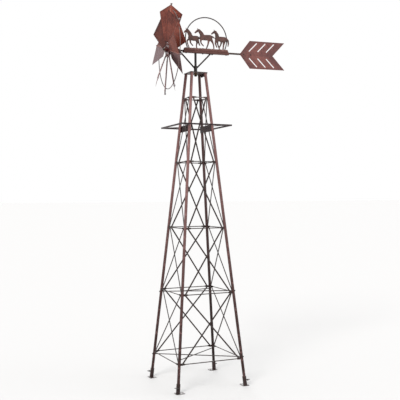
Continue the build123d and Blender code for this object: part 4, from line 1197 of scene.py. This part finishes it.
bm = bmesh.new()
for middle, axis, along, off in split_solids("hub_bolts"):
    outward = -TAILWARD
    span = max(along.max(), -along.min())
    dome(bm, middle + outward * (span - 2.5 * MM), outward, off.max() * 1.12, 6.0 * MM)
place_piece(mesh_from(bm, "hub_domes"), "hub_domes", "wheel", "hub_paint")

KNOB_LENGTH, KNOB_R = 10 * MM, 6.2 * MM
RIVET_SHARES = (0.12, 0.45, 0.75, 0.93)     # places along a blade, from its root to its tip
knobs, rivets = bmesh.new(), bmesh.new()
for number in range(1, 9):
    outward, chord, backward, _ = blade_frame(f"blade_{number}")
    spoke_points = np.array([v.co[:] for v in nodes["spokes"].data.vertices]) - np.array(WHEEL_CENTRE)
    reach = (spoke_points @ np.array(outward)).max()
    start = WHEEL_CENTRE + outward * (reach - KNOB_LENGTH)
    turned(knobs, [
        (0, 3.4 * MM), (0.8 * MM, 5.0 * MM), (1.6 * MM, 5.0 * MM), (2.2 * MM, 4.0 * MM),
        (3.0 * MM, 4.2 * MM), (4.2 * MM, KNOB_R), (6.5 * MM, KNOB_R), (8.6 * MM, 5.2 * MM),
        (9.6 * MM, 3.4 * MM), (10.1 * MM, 1.2 * MM),
    ], start, outward, 24)
    for share in RIVET_SHARES:
        radius = BLADE_ROOT + (BLADE_TIP - BLADE_ROOT) * share
        spot = WHEEL_CENTRE + outward * radius + backward * (BLADE_FACE - RIDGE_RISE)
        dome(rivets, spot + backward * 0.6 * MM, -backward, 3.0 * MM, 1.8 * MM, 16)
place_piece(mesh_from(knobs, "spoke_knobs"), "spoke_knobs", "wheel", "rod_paint", coat=knob_coat)
place_piece(mesh_from(rivets, "blade_rivets"), "blade_rivets", "wheel", "rust_sheet")
print("domes, knobs and rivets are on the wheel")

# %% Collar screw, barrel rings and arch welds
bm = bmesh.new()
collar_low, collar_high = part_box("post_collar")
collar_r = (collar_high.y - collar_low.y) / 2
screw_axis = (TAILWARD - ASIDE).normalized()
screw_spot = Vector((0, 0, collar_low.z + 6 * MM)) + screw_axis * (collar_r - 1.5 * MM)
turned(bm, [(0, 2.6 * MM), (2.4 * MM, 2.6 * MM), (2.8 * MM, 2.2 * MM), (2.8 * MM, 1.2 * MM),
            (1.4 * MM, 1.1 * MM)], screw_spot, screw_axis, 24)
for height in (2.5 * MM, collar_high.z - collar_low.z - 2.5 * MM):
    ring_bead(bm, Vector((0, 0, collar_low.z + height)), UP, collar_r - 0.1 * MM, 0.7 * MM, draw, 48)
place_piece(mesh_from(bm, "collar_screw"), "collar_screw", "head", "collar_dark")

bm = bmesh.new()
barrel_low, barrel_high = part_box("hub_barrel")
barrel_r = (barrel_high.z - barrel_low.z) / 2
for shift in (-20 * MM, -14 * MM, 15 * MM, 19 * MM):
    ring_bead(bm, WHEEL_CENTRE + TAILWARD * shift, TAILWARD, barrel_r, 0.9 * MM, draw, 64)
place_piece(mesh_from(bm, "barrel_rings"), "barrel_rings", "wheel", "hub_paint")

bm = bmesh.new()
arch_points = np.array([v.co[:] for v in nodes["arch"].data.vertices])
foot_level = arch_points[:, 2].min()
feet = arch_points[arch_points[:, 2] < foot_level + 0.5 * MM]
for way in (-1, 1):
    one_foot = feet[(feet - feet.mean(0)) @ np.array(TAILWARD) * way > 0]
    centre = Vector((one_foot.min(0) + one_foot.max(0)) / 2)
    ring_bead(bm, centre + UP * 0.8 * MM, UP, 3.8 * MM, 1.2 * MM, draw, 24)
place_piece(mesh_from(bm, "arch_welds"), "arch_welds", "head", "rod_paint")
print("collar, barrel and arch details are on")
